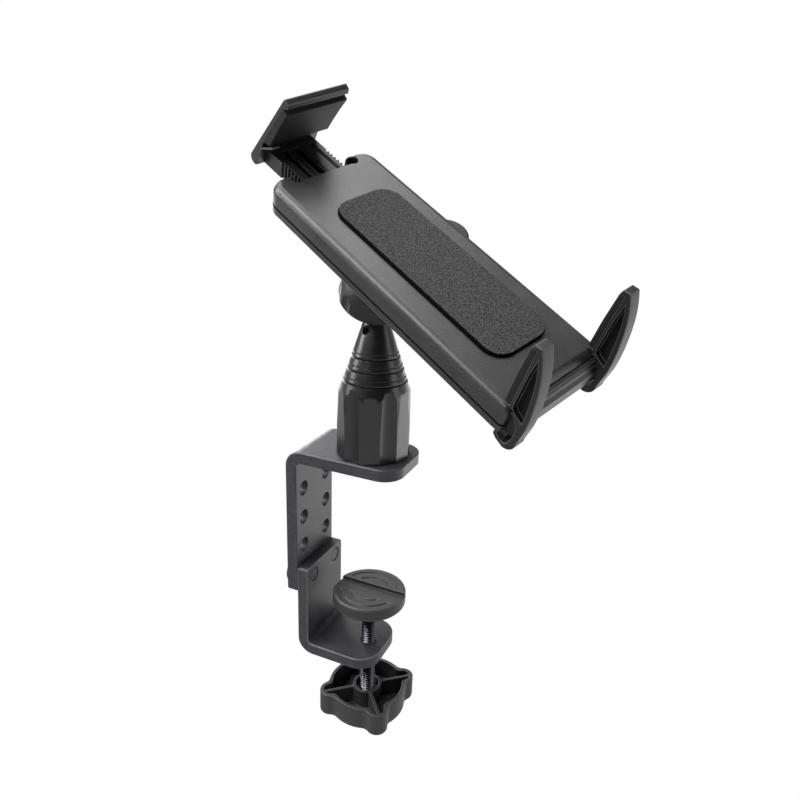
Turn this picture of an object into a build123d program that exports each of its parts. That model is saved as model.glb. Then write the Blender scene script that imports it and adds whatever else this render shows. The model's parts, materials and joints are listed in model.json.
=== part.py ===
from build123d import *
import os

os.makedirs("parts", exist_ok=True)

# Tablet clamp mount, all sizes in millimetres.
# Origin: centre of the seat that rests on the desk, under the top plate of the upper bracket.
# +Z is up along the pedestal, +X points away from the desk edge over the desk, +Y is across the strip.

# Strip of both brackets
STRIP_W = 38.0
STRIP_T = 6.35
BEND_OUT = 8.85
BEND_IN = 2.5
BACK_X = -40.6
SEAT_TIP_X = 21.2
UPPER_DROP = 76.6
CORNER_R = 11.0
ROW_FIRST = -17.1
ROW_PITCH = 16.9
ROW_HALF = 11.5
BOLT8_R = 3.95
BOLT8_HOLE_R = 4.1

# Lower bracket and clamp screw
LOWER_TOP = -61.3
LEDGE_TOP = -108.0
LEDGE_TIP_X = 10.6
SCREW_R = 4.0
SCREW_HOLE_R = 4.06
PAD_TOP = -75.1
PAD_R = 19.9
PAD_H = 8.1
KNOB_TOP = -138.0
KNOB_H = 14.0
KNOB_R = 21.8
LOBE_R = 6.0
LOBE_AT = 21.4
LOBE_TURN = 41.3

# Pedestal
BARREL_R0 = 18.9
BARREL_R1 = 18.0
BARREL_TOP = 40.0
CONE_TOP = 75.8
CONE_R1 = 6.16
BALL_Z = 90.6
BALL_R = 10.0
NECK_R = 3.5
STUD_R = 4.0
SET_SCREW_R = 2.2

# Holder, in its own frame: x across, y towards the sliding jaw, z out of the face that holds the tablet
PLATE_HALF = 29.0
PLATE_TOP = 79.0
PLATE_END = -72.0
PLATE_T = 15.0
PART_Z = -9.5
RECESS_Y = 72.0
RECESS_HALF = 15.6
GUIDE_X = 15.8
GUIDE_R = 2.5
ARM_HALF = 12.9
ARM_TOP = -3.0
ARM_BOTTOM = -11.0
ARM_END = 101.0
ARM_INNER = -44.0
RACK_PITCH = 2.5
RACK_DEPTH = 1.2
JAW_HALF = 16.5
CLAW_T = 5.9
CLAW_HALF = 28.0
RAIL_HALF = 25.6
SOCKET_X = -1.35
SOCKET_Y = 26.973
SOCKET_DEPTH = 34.358
FLANGE_W = 44.0
FLANGE_L = 56.0
FLANGE_SCREW_X = 34.0
FLANGE_SCREW_Y = 48.0
BUTTON_Y = 15.0
NUT_TURN = 25.0

# Rest pose of the holder on its ball
HOLDER_Z = Vector(0.3571, -0.4253, 0.8316).normalized()
ACROSS = Vector(0.4094, 0.8715, 0.2699)
HOLDER_X = (ACROSS - HOLDER_Z * ACROSS.dot(HOLDER_Z)).normalized()
HOLDER_Y = HOLDER_Z.cross(HOLDER_X)
BALL_POINT = Vector(0, 0, BALL_Z)
HOLDER_AT = BALL_POINT - HOLDER_X * SOCKET_X - HOLDER_Y * SOCKET_Y + HOLDER_Z * SOCKET_DEPTH
HOLDER = Plane(origin=HOLDER_AT, x_dir=HOLDER_X, z_dir=HOLDER_Z).location


def save(piece, name, pose=Location()):
    shape = piece.part.moved(pose)
    shape.label = name
    export_step(shape, "parts/" + name + ".step")


# Upper bracket: one flat strip bent once, with four rows of two holes in the upright leg
with BuildPart() as upper_bracket:
    with BuildSketch(Plane.XZ):
        with BuildLine():
            Polyline(
                (BACK_X, -UPPER_DROP), (BACK_X, STRIP_T), (SEAT_TIP_X, STRIP_T), (SEAT_TIP_X, 0),
                (BACK_X + STRIP_T, 0), (BACK_X + STRIP_T, -UPPER_DROP), close=True)
        make_face()
    extrude(amount=STRIP_W / 2, both=True)
    bend_lines = upper_bracket.edges().filter_by(Axis.Y)
    fillet(bend_lines.sort_by_distance((BACK_X, 0, STRIP_T))[0], BEND_OUT)
    bend_lines = upper_bracket.edges().filter_by(Axis.Y)
    fillet(bend_lines.sort_by_distance((BACK_X + STRIP_T, 0, 0))[0], BEND_IN)
    fillet(upper_bracket.edges().filter_by(Axis.Z).group_by(Axis.X)[-1], CORNER_R)
    fillet(upper_bracket.edges().filter_by(Axis.X).group_by(Axis.Z)[0], 2.0)
    # rows of clearance holes for the two screws that carry the lower bracket
    with BuildSketch(Plane(origin=(BACK_X, 0, 0), x_dir=(0, 1, 0), z_dir=(1, 0, 0))):
        with Locations((0, ROW_FIRST - 1.5 * ROW_PITCH)):
            with GridLocations(2 * ROW_HALF, ROW_PITCH, 2, 4):
                Circle(BOLT8_HOLE_R)
    extrude(amount=STRIP_T, mode=Mode.SUBTRACT)
    # countersunk hole for the bolt that holds the pedestal
    with BuildSketch(Plane.XY):
        Circle(4.2)
    extrude(amount=STRIP_T, mode=Mode.SUBTRACT)
    with BuildSketch(Plane.XZ):
        with BuildLine():
            Polyline((0, 0), (8.6, 0), (8.6, 0.4), (4.2, 4.8), (0, 4.8), close=True)
        make_face()
    revolve(axis=Axis.Z, mode=Mode.SUBTRACT)
    # worn, slightly broken sharp edges of the strip
    chamfer(upper_bracket.faces().sort_by(Axis.X)[-1].edges().filter_by(Axis.Y), 0.5)
save(upper_bracket, "upper_bracket")

# Lower bracket: lies against the upright leg and carries the clamp screw
with BuildPart() as lower_bracket:
    with BuildSketch(Plane.XZ):
        with BuildLine():
            Polyline(
                (BACK_X + STRIP_T, LOWER_TOP), (BACK_X + 2 * STRIP_T, LOWER_TOP),
                (BACK_X + 2 * STRIP_T, LEDGE_TOP), (LEDGE_TIP_X, LEDGE_TOP),
                (LEDGE_TIP_X, LEDGE_TOP - STRIP_T), (BACK_X + STRIP_T, LEDGE_TOP - STRIP_T), close=True)
        make_face()
    extrude(amount=STRIP_W / 2, both=True)
    bend_lines = lower_bracket.edges().filter_by(Axis.Y)
    fillet(bend_lines.sort_by_distance((BACK_X + STRIP_T, 0, LEDGE_TOP - STRIP_T))[0], BEND_OUT)
    bend_lines = lower_bracket.edges().filter_by(Axis.Y)
    fillet(bend_lines.sort_by_distance((BACK_X + 2 * STRIP_T, 0, LEDGE_TOP))[0], BEND_IN)
    fillet(lower_bracket.edges().filter_by(Axis.Z).group_by(Axis.X)[-1], CORNER_R + 1)
    fillet(lower_bracket.edges().filter_by(Axis.X).group_by(Axis.Z)[-1], 2.0)
    # threaded holes for the two screws, then the nut thread of the clamp screw
    with BuildSketch(Plane(origin=(BACK_X + STRIP_T, 0, ROW_FIRST - 3 * ROW_PITCH), x_dir=(0, 1, 0), z_dir=(1, 0, 0))):
        with GridLocations(2 * ROW_HALF, 1, 2, 1):
            Circle(BOLT8_R)
    extrude(amount=STRIP_T, mode=Mode.SUBTRACT)
    with BuildSketch(Plane.XY.offset(LEDGE_TOP - STRIP_T)):
        Circle(SCREW_HOLE_R)
    extrude(amount=STRIP_T, mode=Mode.SUBTRACT)
save(lower_bracket, "lower_bracket")

# Two button head screws, put in from the back, their ends just short of the inner face
with BuildPart() as bracket_screws:
    with BuildSketch(Plane.XZ):
        with BuildLine():
            Polyline(
                (4.2, 0), (-12.3, 0), (-12.3, BOLT8_R), (0, BOLT8_R), (0, 6.9), (1.2, 6.9), (3.4, 5.0), (4.2, 3.0),
                close=True)
        make_face()
    revolve(axis=Axis.X)
    with BuildSketch(Plane(origin=(4.4, 0, 0), x_dir=(0, 1, 0), z_dir=(1, 0, 0))):
        RegularPolygon(2.5, 6, major_radius=False)
    extrude(amount=-2.9, mode=Mode.SUBTRACT)
screw_places = [(BACK_X, -ROW_HALF, ROW_FIRST - 3 * ROW_PITCH), (BACK_X, ROW_HALF, ROW_FIRST - 3 * ROW_PITCH)]
with BuildPart() as bracket_screw_pair:
    for place in screw_places:
        add(bracket_screws.part.moved(Location(place) * Location((0, 0, 0), (0, 0, 180))))
save(bracket_screw_pair, "bracket_screws")

# Clamp screw: threaded rod with a turned tip that snaps into the pad and a hexagon head held by the knob
with BuildPart() as clamp_screw:
    with BuildSketch(Plane.XZ):
        with BuildLine():
            Polyline(
                (0, -150.0), (SCREW_R, -150.0), (SCREW_R, PAD_TOP - PAD_H - 0.6), (SCREW_R - 0.6, PAD_TOP - PAD_H - 0.1),
                (2.5, PAD_TOP - PAD_H - 0.1), (2.5, -80.4), (3.5, -79.6), (3.5, -78.6), (2.6, -77.9), (0, -77.9),
                close=True)
        make_face()
    revolve(axis=Axis.Z)
    with BuildSketch(Plane.XY.offset(-150.5)):
        RegularPolygon(6.5, 6, major_radius=False)
    extrude(amount=5.3)
save(clamp_screw, "clamp_screw")

# Pressure pad: thick disc with a wide channel across its top face and curved grip grooves on each half
with BuildPart() as pressure_pad:
    with BuildSketch(Plane.XZ):
        with BuildLine():
            Polyline(
                (2.58, PAD_TOP - PAD_H), (PAD_R - 1.4, PAD_TOP - PAD_H), (PAD_R, PAD_TOP - PAD_H + 1.6),
                (PAD_R, PAD_TOP - 0.8), (PAD_R - 0.6, PAD_TOP), (0, PAD_TOP), (0, -77.7), (2.75, -77.7),
                (3.58, -78.55), (3.58, -79.75), (2.58, -80.6), close=True)
        make_face()
    revolve(axis=Axis.Z)
    with BuildSketch(Plane.XY.offset(PAD_TOP)):
        Rectangle(2 * PAD_R + 2, 9.4)
    extrude(amount=-2.2, mode=Mode.SUBTRACT)
    with BuildSketch(Plane.XY.offset(PAD_TOP)):
        for radius in (16.6, 11.4):
            Circle(radius)
            Circle(radius - 1.5, mode=Mode.SUBTRACT)
        Rectangle(2 * PAD_R + 2, 13.6, mode=Mode.SUBTRACT)
    extrude(amount=-0.9, mode=Mode.SUBTRACT)
save(pressure_pad, "pressure_pad")

# Clamp knob: cup with four lobes, open at the top, with a rib from the hub to each lobe
with BuildPart() as clamp_knob:
    with BuildSketch(Plane.XY.offset(KNOB_TOP - KNOB_H)) as knob_outline:
        Circle(KNOB_R)
        with PolarLocations(LOBE_AT, 4, start_angle=LOBE_TURN):
            Circle(LOBE_R)
        fillet(knob_outline.vertices(), 5.0)
    extrude(amount=KNOB_H)
    fillet(clamp_knob.edges().group_by(Axis.Z)[0], 1.8)
    with BuildSketch(Plane.XY.offset(KNOB_TOP)) as knob_cavity:
        Circle(KNOB_R - 2.0)
        with PolarLocations(LOBE_AT, 4, start_angle=LOBE_TURN):
            Circle(LOBE_R - 2.2)
        fillet(knob_cavity.vertices(), 3.0)
    extrude(amount=-(KNOB_H - 2.4), mode=Mode.SUBTRACT)
    # ribs sit a little under the rim
    with BuildSketch(Plane.XY.offset(KNOB_TOP - KNOB_H + 1.0)):
        with PolarLocations(13.0, 4, start_angle=LOBE_TURN):
            Rectangle(25.0, 1.9)
    extrude(amount=KNOB_H - 1.8)
    with BuildSketch(Plane.XY.offset(KNOB_TOP - KNOB_H + 1.0)):
        Circle(8.1)
    extrude(amount=KNOB_H - 1.4)
    with BuildSketch(Plane.XY.offset(KNOB_TOP - 0.4)):
        Circle(6.3)
    extrude(amount=-3.2, mode=Mode.SUBTRACT)
    with BuildSketch(Plane.XY.offset(KNOB_TOP - KNOB_H)):
        Circle(SCREW_R)
    extrude(amount=KNOB_H, mode=Mode.SUBTRACT)
    with BuildSketch(Plane.XY.offset(KNOB_TOP - KNOB_H)):
        RegularPolygon(6.5, 6, major_radius=False)
    extrude(amount=6.8, mode=Mode.SUBTRACT)
save(clamp_knob, "clamp_knob")

# Pedestal: turned barrel and cone in one piece, with six flutes, six flats and three grooves
with BuildPart() as pedestal:
    cone_slope = (BARREL_R1 - CONE_R1) / (CONE_TOP - BARREL_TOP)
    with BuildSketch(Plane.XZ):
        with BuildLine():
            Polyline(
                (4.06, STRIP_T), (BARREL_R0 - 0.8, STRIP_T), (BARREL_R0, STRIP_T + 0.8), (BARREL_R1, BARREL_TOP),
                (CONE_R1, CONE_TOP), (STUD_R, CONE_TOP), (STUD_R, CONE_TOP - 20), (0, CONE_TOP - 20),
                (0, 30.0), (4.06, 30.0), close=True)
        make_face()
    revolve(axis=Axis.Z)
    # a deep and a shallow groove leave a fine bead between them
    for height in (46.0, 52.1, 58.1):
        for rise, depth, half in ((0.0, 0.85, 0.55), (2.1, 0.45, 0.3)):
            radius = BARREL_R1 - cone_slope * (height + rise - BARREL_TOP)
            with BuildSketch(Plane.XZ):
                with BuildLine():
                    Polyline(
                        (radius - depth, height + rise - half / 2), (radius + 0.6, height + rise - half - 0.3),
                        (radius + 0.6, height + rise + half + 0.3), (radius - depth, height + rise + half / 2),
                        close=True)
                make_face()
            revolve(axis=Axis.Z, mode=Mode.SUBTRACT)
    # flutes run out on the cone as arches, flats end in a straight line
    with BuildSketch(Plane.XY.offset(STRIP_T)):
        with PolarLocations(26.9, 6, start_angle=20):
            Circle(10.0)
    extrude(amount=50, mode=Mode.SUBTRACT)
    with BuildSketch(Plane.XY.offset(STRIP_T)):
        with PolarLocations(17.8 + 5, 6, start_angle=50):
            Rectangle(10, 22)
    extrude(amount=50, mode=Mode.SUBTRACT)
    # side hole of the grub screw
    with BuildSketch(Plane(origin=(0, 0, 71.0), x_dir=(0, 0, 1), z_dir=(-0.259, -0.966, 0))):
        Circle(SET_SCREW_R)
    extrude(amount=12, mode=Mode.SUBTRACT)
save(pedestal, "pedestal")

# Countersunk bolt from under the seat, its head just below the seat
with BuildPart() as pedestal_bolt:
    with BuildSketch(Plane.XZ):
        with BuildLine():
            Polyline((0, 0.35), (8.2, 0.35), (8.2, 0.6), (4.0, 4.8), (4.0, 28.0), (3.2, 28.8), (0, 28.8), close=True)
        make_face()
    revolve(axis=Axis.Z)
    with BuildSketch(Plane.XY.offset(0.35)):
        RegularPolygon(2.5, 6, major_radius=False)
    extrude(amount=2.6, mode=Mode.SUBTRACT)
save(pedestal_bolt, "pedestal_bolt")

# Ball stud, screwed into the top of the cone
with BuildPart() as ball_stud:
    with BuildSketch(Plane.XZ):
        with BuildLine():
            Line((0, CONE_TOP - 18.5), (STUD_R, CONE_TOP - 18.5))
            Line((STUD_R, CONE_TOP - 18.5), (STUD_R, CONE_TOP))
            Line((STUD_R, CONE_TOP), (NECK_R, CONE_TOP + 0.8))
            neck_top = BALL_Z - (BALL_R ** 2 - NECK_R ** 2) ** 0.5
            Line((NECK_R, CONE_TOP + 0.8), (NECK_R, neck_top))
            ThreePointArc((NECK_R, neck_top), (BALL_R, BALL_Z), (0, BALL_Z + BALL_R))
            Line((0, BALL_Z + BALL_R), (0, CONE_TOP - 18.5))
        make_face()
    revolve(axis=Axis.Z)
save(ball_stud, "ball_stud")

# Grub screw that locks the stud
with BuildPart() as stud_set_screw:
    with BuildSketch(Plane(origin=(0, 0, 71.0), x_dir=(0, 0, 1), z_dir=(-0.259, -0.966, 0)).offset(4.05)):
        Circle(SET_SCREW_R)
    extrude(amount=3.0)
    with BuildSketch(Plane(origin=(0, 0, 71.0), x_dir=(0, 0, 1), z_dir=(-0.259, -0.966, 0)).offset(7.05)):
        RegularPolygon(1.0, 6, major_radius=False)
    extrude(amount=-1.4, mode=Mode.SUBTRACT)
save(stud_set_screw, "stud_set_screw")

# Ball socket: flange with four screws, and a slotted cup around the ball
BALL_AT = -SOCKET_DEPTH
CUP_END = BALL_AT - 4.2
with BuildPart() as ball_socket:
    with BuildSketch(Plane.XY.offset(-PLATE_T)):
        with Locations((SOCKET_X, SOCKET_Y)):
            RectangleRounded(FLANGE_W, FLANGE_L, 6)
    extrude(amount=-3.0)
    with BuildSketch(Plane.XY.offset(-PLATE_T)):
        with Locations((SOCKET_X, SOCKET_Y)):
            Circle(14.0)
    extrude(amount=CUP_END + PLATE_T)
    chamfer(ball_socket.edges().group_by(Axis.Z)[0], 1.2)
    with Locations((SOCKET_X, SOCKET_Y, BALL_AT)):
        Sphere(BALL_R + 0.06, mode=Mode.SUBTRACT)
    # four slots let the ring squeeze the cup
    with BuildSketch(Plane.XY.offset(CUP_END)):
        with Locations((SOCKET_X, SOCKET_Y)):
            Rectangle(30, 1.4, rotation=45)
            Rectangle(30, 1.4, rotation=135)
    extrude(amount=8.0, mode=Mode.SUBTRACT)
    with BuildSketch(Plane.XY.offset(-PLATE_T - 3.0)):
        with Locations((SOCKET_X, SOCKET_Y)):
            with GridLocations(FLANGE_SCREW_X, FLANGE_SCREW_Y, 2, 2):
                Circle(2.15)
    extrude(amount=3.0, mode=Mode.SUBTRACT)
save(ball_socket, "ball_socket", HOLDER)

# Ring nut that tightens the cup: rounded bell with twelve shallow finger flutes
with BuildPart() as ring_nut:
    with BuildSketch(Plane.XZ):
        with BuildLine():
            Line((14.06, -29.6), (14.7, -29.6))
            ThreePointArc((14.7, -29.6), (17.0, -34.4), (17.6, -40.2))
            ThreePointArc((17.6, -40.2), (17.0, -42.4), (15.6, -43.4))
            Polyline((15.6, -43.4), (14.3, -42.5), (12.6, -40.4), (14.06, CUP_END - 0.1), (14.06, -29.6))
        make_face()
    revolve(axis=Axis.Z)
    with BuildSketch(Plane.XY.offset(-44)):
        with PolarLocations(16.9 + 12.0, 12, start_angle=NUT_TURN):
            Circle(12.0)
    extrude(amount=15, mode=Mode.SUBTRACT)
save(ring_nut, "ring_nut", HOLDER * Location((SOCKET_X, SOCKET_Y, 0)))

# Four screws of the socket flange
with BuildPart() as socket_screws:
    with Locations((SOCKET_X, SOCKET_Y, 0)):
        with GridLocations(FLANGE_SCREW_X, FLANGE_SCREW_Y, 2, 2):
            with Locations((0, 0, -PLATE_T - 3.0)):
                Cylinder(2.0, 7.6, align=(Align.CENTER, Align.CENTER, Align.MIN))
                Cylinder(3.5, 2.3, align=(Align.CENTER, Align.CENTER, Align.MAX))
    chamfer(socket_screws.edges().group_by(Axis.Z)[0], 0.9)
    with BuildSketch(Plane.XY.offset(-PLATE_T - 5.3)):
        with Locations((SOCKET_X, SOCKET_Y)):
            with GridLocations(FLANGE_SCREW_X, FLANGE_SCREW_Y, 2, 2):
                Rectangle(3.0, 0.8)
                Rectangle(0.8, 3.0)
    extrude(amount=1.2, mode=Mode.SUBTRACT)
save(socket_screws, "socket_screws", HOLDER)

# Front cover: hollow moulding with a rounded rim and a channel for the sliding arm
PLATE_MID = (PLATE_TOP + PLATE_END) / 2
PLATE_LEN = PLATE_TOP - PLATE_END
COVER_SCREWS = [(-23.5, 66), (23.5, 66), (-23.5, -8), (23.5, -8), (-23.5, -62), (23.5, -62)]
with BuildPart() as front_cover:
    with BuildSketch(Plane.XY.offset(PART_Z)) as cover_outline:
        with Locations((0, PLATE_MID)):
            Rectangle(2 * PLATE_HALF, PLATE_LEN)
        fillet(cover_outline.vertices().group_by(Axis.Y)[-1], 8.0)
        fillet(cover_outline.vertices().group_by(Axis.Y)[0], 2.0)
    extrude(amount=-PART_Z)
    rim = front_cover.edges().group_by(Axis.Z)[-1]
    fillet(rim.filter_by_position(Axis.Y, PLATE_END + 1.9, PLATE_TOP + 1), 4.2)
    # channel for the arm, open at the jaw end
    with BuildSketch(Plane.XY.offset(PART_Z)):
        with Locations((0, (PLATE_TOP - 60) / 2)):
            Rectangle(2 * ARM_HALF + 0.5, PLATE_TOP + 60.2)
    extrude(amount=ARM_TOP + 0.25 - PART_Z, mode=Mode.SUBTRACT)
    # the face stops short over the arm
    with BuildSketch(Plane.XY.offset(PART_Z)):
        with Locations((0, RECESS_Y + 10)):
            Rectangle(2 * RECESS_HALF, 20)
        for side in (-1, 1):
            with Locations((side * GUIDE_X, RECESS_Y + 2.0)):
                Circle(GUIDE_R + 0.2)
    extrude(amount=20, mode=Mode.SUBTRACT)
    # hollows beside the channel, with room for the lock
    with BuildSketch(Plane.XY.offset(PART_Z)):
        for side in (-1, 1):
            with Locations((side * 20.4, 38.5), (side * 20.4, -36)):
                Rectangle(11.0, 35, align=Align.CENTER)
    extrude(amount=6.7, mode=Mode.SUBTRACT)
    with BuildSketch(Plane.XY.offset(PART_Z)):
        with Locations((-20.2, BUTTON_Y)):
            Rectangle(15.0, 12.6)
    extrude(amount=6.7, mode=Mode.SUBTRACT)
    # opening in the right side for the release button
    with BuildSketch(Plane.XY.offset(PART_Z)):
        with Locations((23.6, BUTTON_Y)):
            Rectangle(15.6, 19.2)
    extrude(amount=6.6, mode=Mode.SUBTRACT)
    # groove for the tongue of the claw rail, and blind holes for the cover screws
    with BuildSketch(Plane.XY.offset(PART_Z)):
        with Locations((0, PLATE_END + 3)):
            Rectangle(44.2, 6.4)
    extrude(amount=1.6, mode=Mode.SUBTRACT)
    with BuildSketch(Plane.XY.offset(PART_Z)):
        with Locations(*COVER_SCREWS):
            Circle(1.3)
    extrude(amount=6.0, mode=Mode.SUBTRACT)
save(front_cover, "front_cover", HOLDER)

# Rear cover: shallow tray with a raised inner step, so that a fine line shows where the covers meet
with BuildPart() as rear_cover:
    with BuildSketch(Plane.XY.offset(PART_Z - 0.45)) as rear_outline:
        with Locations((0, PLATE_MID)):
            Rectangle(2 * PLATE_HALF, PLATE_LEN)
        fillet(rear_outline.vertices().group_by(Axis.Y)[-1], 8.0)
        fillet(rear_outline.vertices().group_by(Axis.Y)[0], 2.0)
    extrude(amount=-(PLATE_T + PART_Z - 0.45))
    chamfer(rear_cover.edges().group_by(Axis.Z)[0], 1.6)
    with BuildSketch(Plane.XY.offset(PART_Z - 0.45)):
        with Locations((0, PLATE_MID)):
            RectangleRounded(2 * PLATE_HALF - 2.4, PLATE_LEN - 2.4, 6.8)
    extrude(amount=0.45)
    # floor of the arm channel
    with BuildSketch(Plane.XY.offset(PART_Z)):
        with Locations((0, (PLATE_TOP - 60) / 2 + 5)):
            Rectangle(2 * ARM_HALF + 0.5, PLATE_TOP + 70.2)
    extrude(amount=-(PART_Z - ARM_BOTTOM + 0.25), mode=Mode.SUBTRACT)
    # way of the lock bar under the arm, and of the button at the right side
    with BuildSketch(Plane.XY.offset(PART_Z)):
        with Locations((0.5, BUTTON_Y)):
            Rectangle(55.6, 6.6)
        with Locations((-20.2, BUTTON_Y)):
            Rectangle(15.0, 12.6)
    extrude(amount=-4.0, mode=Mode.SUBTRACT)
    with BuildSketch(Plane.XY.offset(PART_Z)):
        with Locations((23.6, BUTTON_Y)):
            Rectangle(15.6, 19.2)
    extrude(amount=-2.6, mode=Mode.SUBTRACT)
    # round guides that keep the arm in line at the mouth
    with BuildSketch(Plane.XY.offset(ARM_BOTTOM - 0.25)):
        for side in (-1, 1):
            with Locations((side * GUIDE_X, RECESS_Y + 2.0)):
                Circle(GUIDE_R)
    extrude(amount=7.6)
    # groove for the tongue of the claw rail
    with BuildSketch(Plane.XY.offset(PART_Z)):
        with Locations((0, PLATE_END + 3)):
            Rectangle(44.2, 6.4)
    extrude(amount=-1.5, mode=Mode.SUBTRACT)
    # recess behind the rail for the hooks of the claws
    with BuildSketch(Plane.XY.offset(-PLATE_T)):
        with Locations((0, PLATE_END)):
            Rectangle(2 * PLATE_HALF + 2, 7.2)
    extrude(amount=1.6, mode=Mode.SUBTRACT)
    # screw holes
    with BuildSketch(Plane.XY.offset(-PLATE_T)):
        with Locations(*COVER_SCREWS):
            Circle(1.7)
    extrude(amount=10, mode=Mode.SUBTRACT)
    with BuildSketch(Plane.XY.offset(-PLATE_T)):
        with Locations(*COVER_SCREWS):
            Circle(3.0)
    extrude(amount=2.2, mode=Mode.SUBTRACT)
    with BuildSketch(Plane.XY.offset(-PLATE_T)):
        with Locations((SOCKET_X, SOCKET_Y)):
            with GridLocations(FLANGE_SCREW_X, FLANGE_SCREW_Y, 2, 2):
                Circle(2.0)
    extrude(amount=4.7, mode=Mode.SUBTRACT)
save(rear_cover, "rear_cover", HOLDER)

# Six screws that hold the covers together
with BuildPart() as cover_screws:
    with Locations(*[(x, y, -PLATE_T + 0.3) for x, y in COVER_SCREWS]):
        Cylinder(2.8, 1.9, align=(Align.CENTER, Align.CENTER, Align.MIN))
        Cylinder(1.3, 10.6, align=(Align.CENTER, Align.CENTER, Align.MIN))
    with BuildSketch(Plane.XY.offset(-PLATE_T + 0.3)):
        with Locations(*COVER_SCREWS):
            Rectangle(2.6, 0.7)
            Rectangle(0.7, 2.6)
    extrude(amount=1.0, mode=Mode.SUBTRACT)
save(cover_screws, "cover_screws", HOLDER)

# Foam pad on the face
with BuildPart() as face_pad:
    with BuildSketch(Plane.XY):
        with Locations((0.6, -1.8)):
            RectangleRounded(34, 104, 9)
    extrude(amount=1.6)
save(face_pad, "face_pad", HOLDER)

# Sliding arm with a rack down each side and ribs and grooves along its top
with BuildPart() as slide_arm:
    with BuildSketch(Plane.YZ):
        with BuildLine():
            Polyline(
                (ARM_INNER, ARM_BOTTOM), (103.75, ARM_BOTTOM), (103.37, -9.0), (102.07, -4.8), (101.57, ARM_TOP),
                (ARM_INNER, ARM_TOP), close=True)
        make_face()
    extrude(amount=ARM_HALF, both=True)
    # middle, width and depth of each groove along the top
    for middle, width, depth in (
            (-6.8, 2.6, 4.0), (-3.15, 0.7, 1.6), (-0.15, 3.3, 3.0), (2.65, 0.7, 1.6), (8.4, 0.8, 2.6), (9.5, 0.7, 2.6)):
        with BuildSketch(Plane.XY.offset(ARM_TOP)):
            with Locations((middle, (ARM_INNER + ARM_END) / 2 - 4)):
                Rectangle(width, ARM_END - ARM_INNER)
        extrude(amount=-depth, mode=Mode.SUBTRACT)
    # rack teeth
    tooth_count = 52
    first_tooth = 90.0 - RACK_PITCH / 2
    with BuildSketch(Plane.XY.offset(ARM_BOTTOM)):
        for side in (-1, 1):
            with Locations(*[(side * ARM_HALF, first_tooth - RACK_PITCH * i) for i in range(tooth_count)]):
                Polygon(
                    (side * 0.3, -1.0), (side * 0.3, 1.0), (-side * RACK_DEPTH, 0.45), (-side * RACK_DEPTH, -0.45),
                    align=None)
    extrude(amount=ARM_TOP - ARM_BOTTOM, mode=Mode.SUBTRACT)
save(slide_arm, "slide_arm", HOLDER)

# Top jaw: leaning plate with a small lip at its top, a rounded foot and a thin tab under the pad's left end
with BuildPart() as top_jaw:
    with BuildSketch(Plane.YZ):
        with BuildLine():
            Polyline(
                (105.4, -12.4), (103.9, -11.6), (103.4, -9.0), (102.1, -4.8), (101.2, -1.6), (100.3, 1.4),
                (86.3, 26.5), (83.3, 27.7), (83.2, 30.0), (85.9, 31.6), (109.1, -8.2))
            ThreePointArc((109.1, -8.2), (108.6, -11.5), (105.4, -12.4))
        make_face()
    extrude(amount=JAW_HALF, both=True)
    fillet(top_jaw.edges().filter_by(Axis.X).sort_by_distance((0, 85.9, 31.6))[0], 1.0)
    with BuildSketch(Plane.YZ.offset(-JAW_HALF)):
        with BuildLine():
            Polyline((101.4, -1.9), (92.4, 3.1), (93.0, 4.0), (101.0, -0.7), close=True)
        make_face()
    extrude(amount=4.2)
save(top_jaw, "top_jaw", HOLDER)

# Rubber pad that covers the jaw's inner face
with BuildPart() as jaw_pad:
    with BuildSketch(Plane.YZ):
        with BuildLine():
            Polyline((86.3, 26.5), (83.5, 24.9), (87.4, 18.0), (91.2, 10.6), (94.3, 4.1), (99.6, 2.65), close=True)
        make_face()
    extrude(amount=JAW_HALF, both=True)
save(jaw_pad, "jaw_pad", HOLDER)

# Release button: thick rounded tab in the right side, joined to the bar that carries the lock tooth
with BuildPart() as release_button:
    with BuildSketch(Plane.XY.offset(-11.9)):
        with Locations((24.9, BUTTON_Y)):
            Circle(9.4)
        with Locations((14.0, BUTTON_Y)):
            Rectangle(11.4, 22, mode=Mode.SUBTRACT)
    extrude(amount=8.8)
    fillet(release_button.edges().group_by(Axis.Z)[-1].sort_by(Axis.X)[-1], 1.4)
save(release_button, "release_button", HOLDER)

# Lock bar: passes under the arm and stands up beside the left rack
with BuildPart() as lock_bar:
    with BuildSketch(Plane.XY.offset(-13.4)):
        with Locations((3.6, BUTTON_Y)):
            Rectangle(42.0, 6.0)
    extrude(amount=1.5)
    with BuildSketch(Plane.XY.offset(-13.4)):
        with BuildLine():
            Polyline((-17.4, 12.0), (-14.3, 12.0), (-14.3, 14.3), (-13.05, 14.7), (-13.05, 15.3), (-14.3, 15.7),
                     (-14.3, 18.0), (-17.4, 18.0), close=True)
        make_face()
    extrude(amount=9.6)
save(lock_bar, "lock_bar", HOLDER)

# Bent leaf that pushes the button back out
with BuildPart() as button_spring:
    with BuildSketch(Plane.XY.offset(-10.4)):
        with BuildLine():
            Polyline((-27.4, 10.4), (-27.4, 19.6), (-26.9, 19.6), (-26.9, 12.2), (-18.0, 17.9), (-17.45, 17.9),
                     (-17.45, 17.3), close=True)
        make_face()
    extrude(amount=4.0)
save(button_spring, "button_spring", HOLDER)

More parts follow.
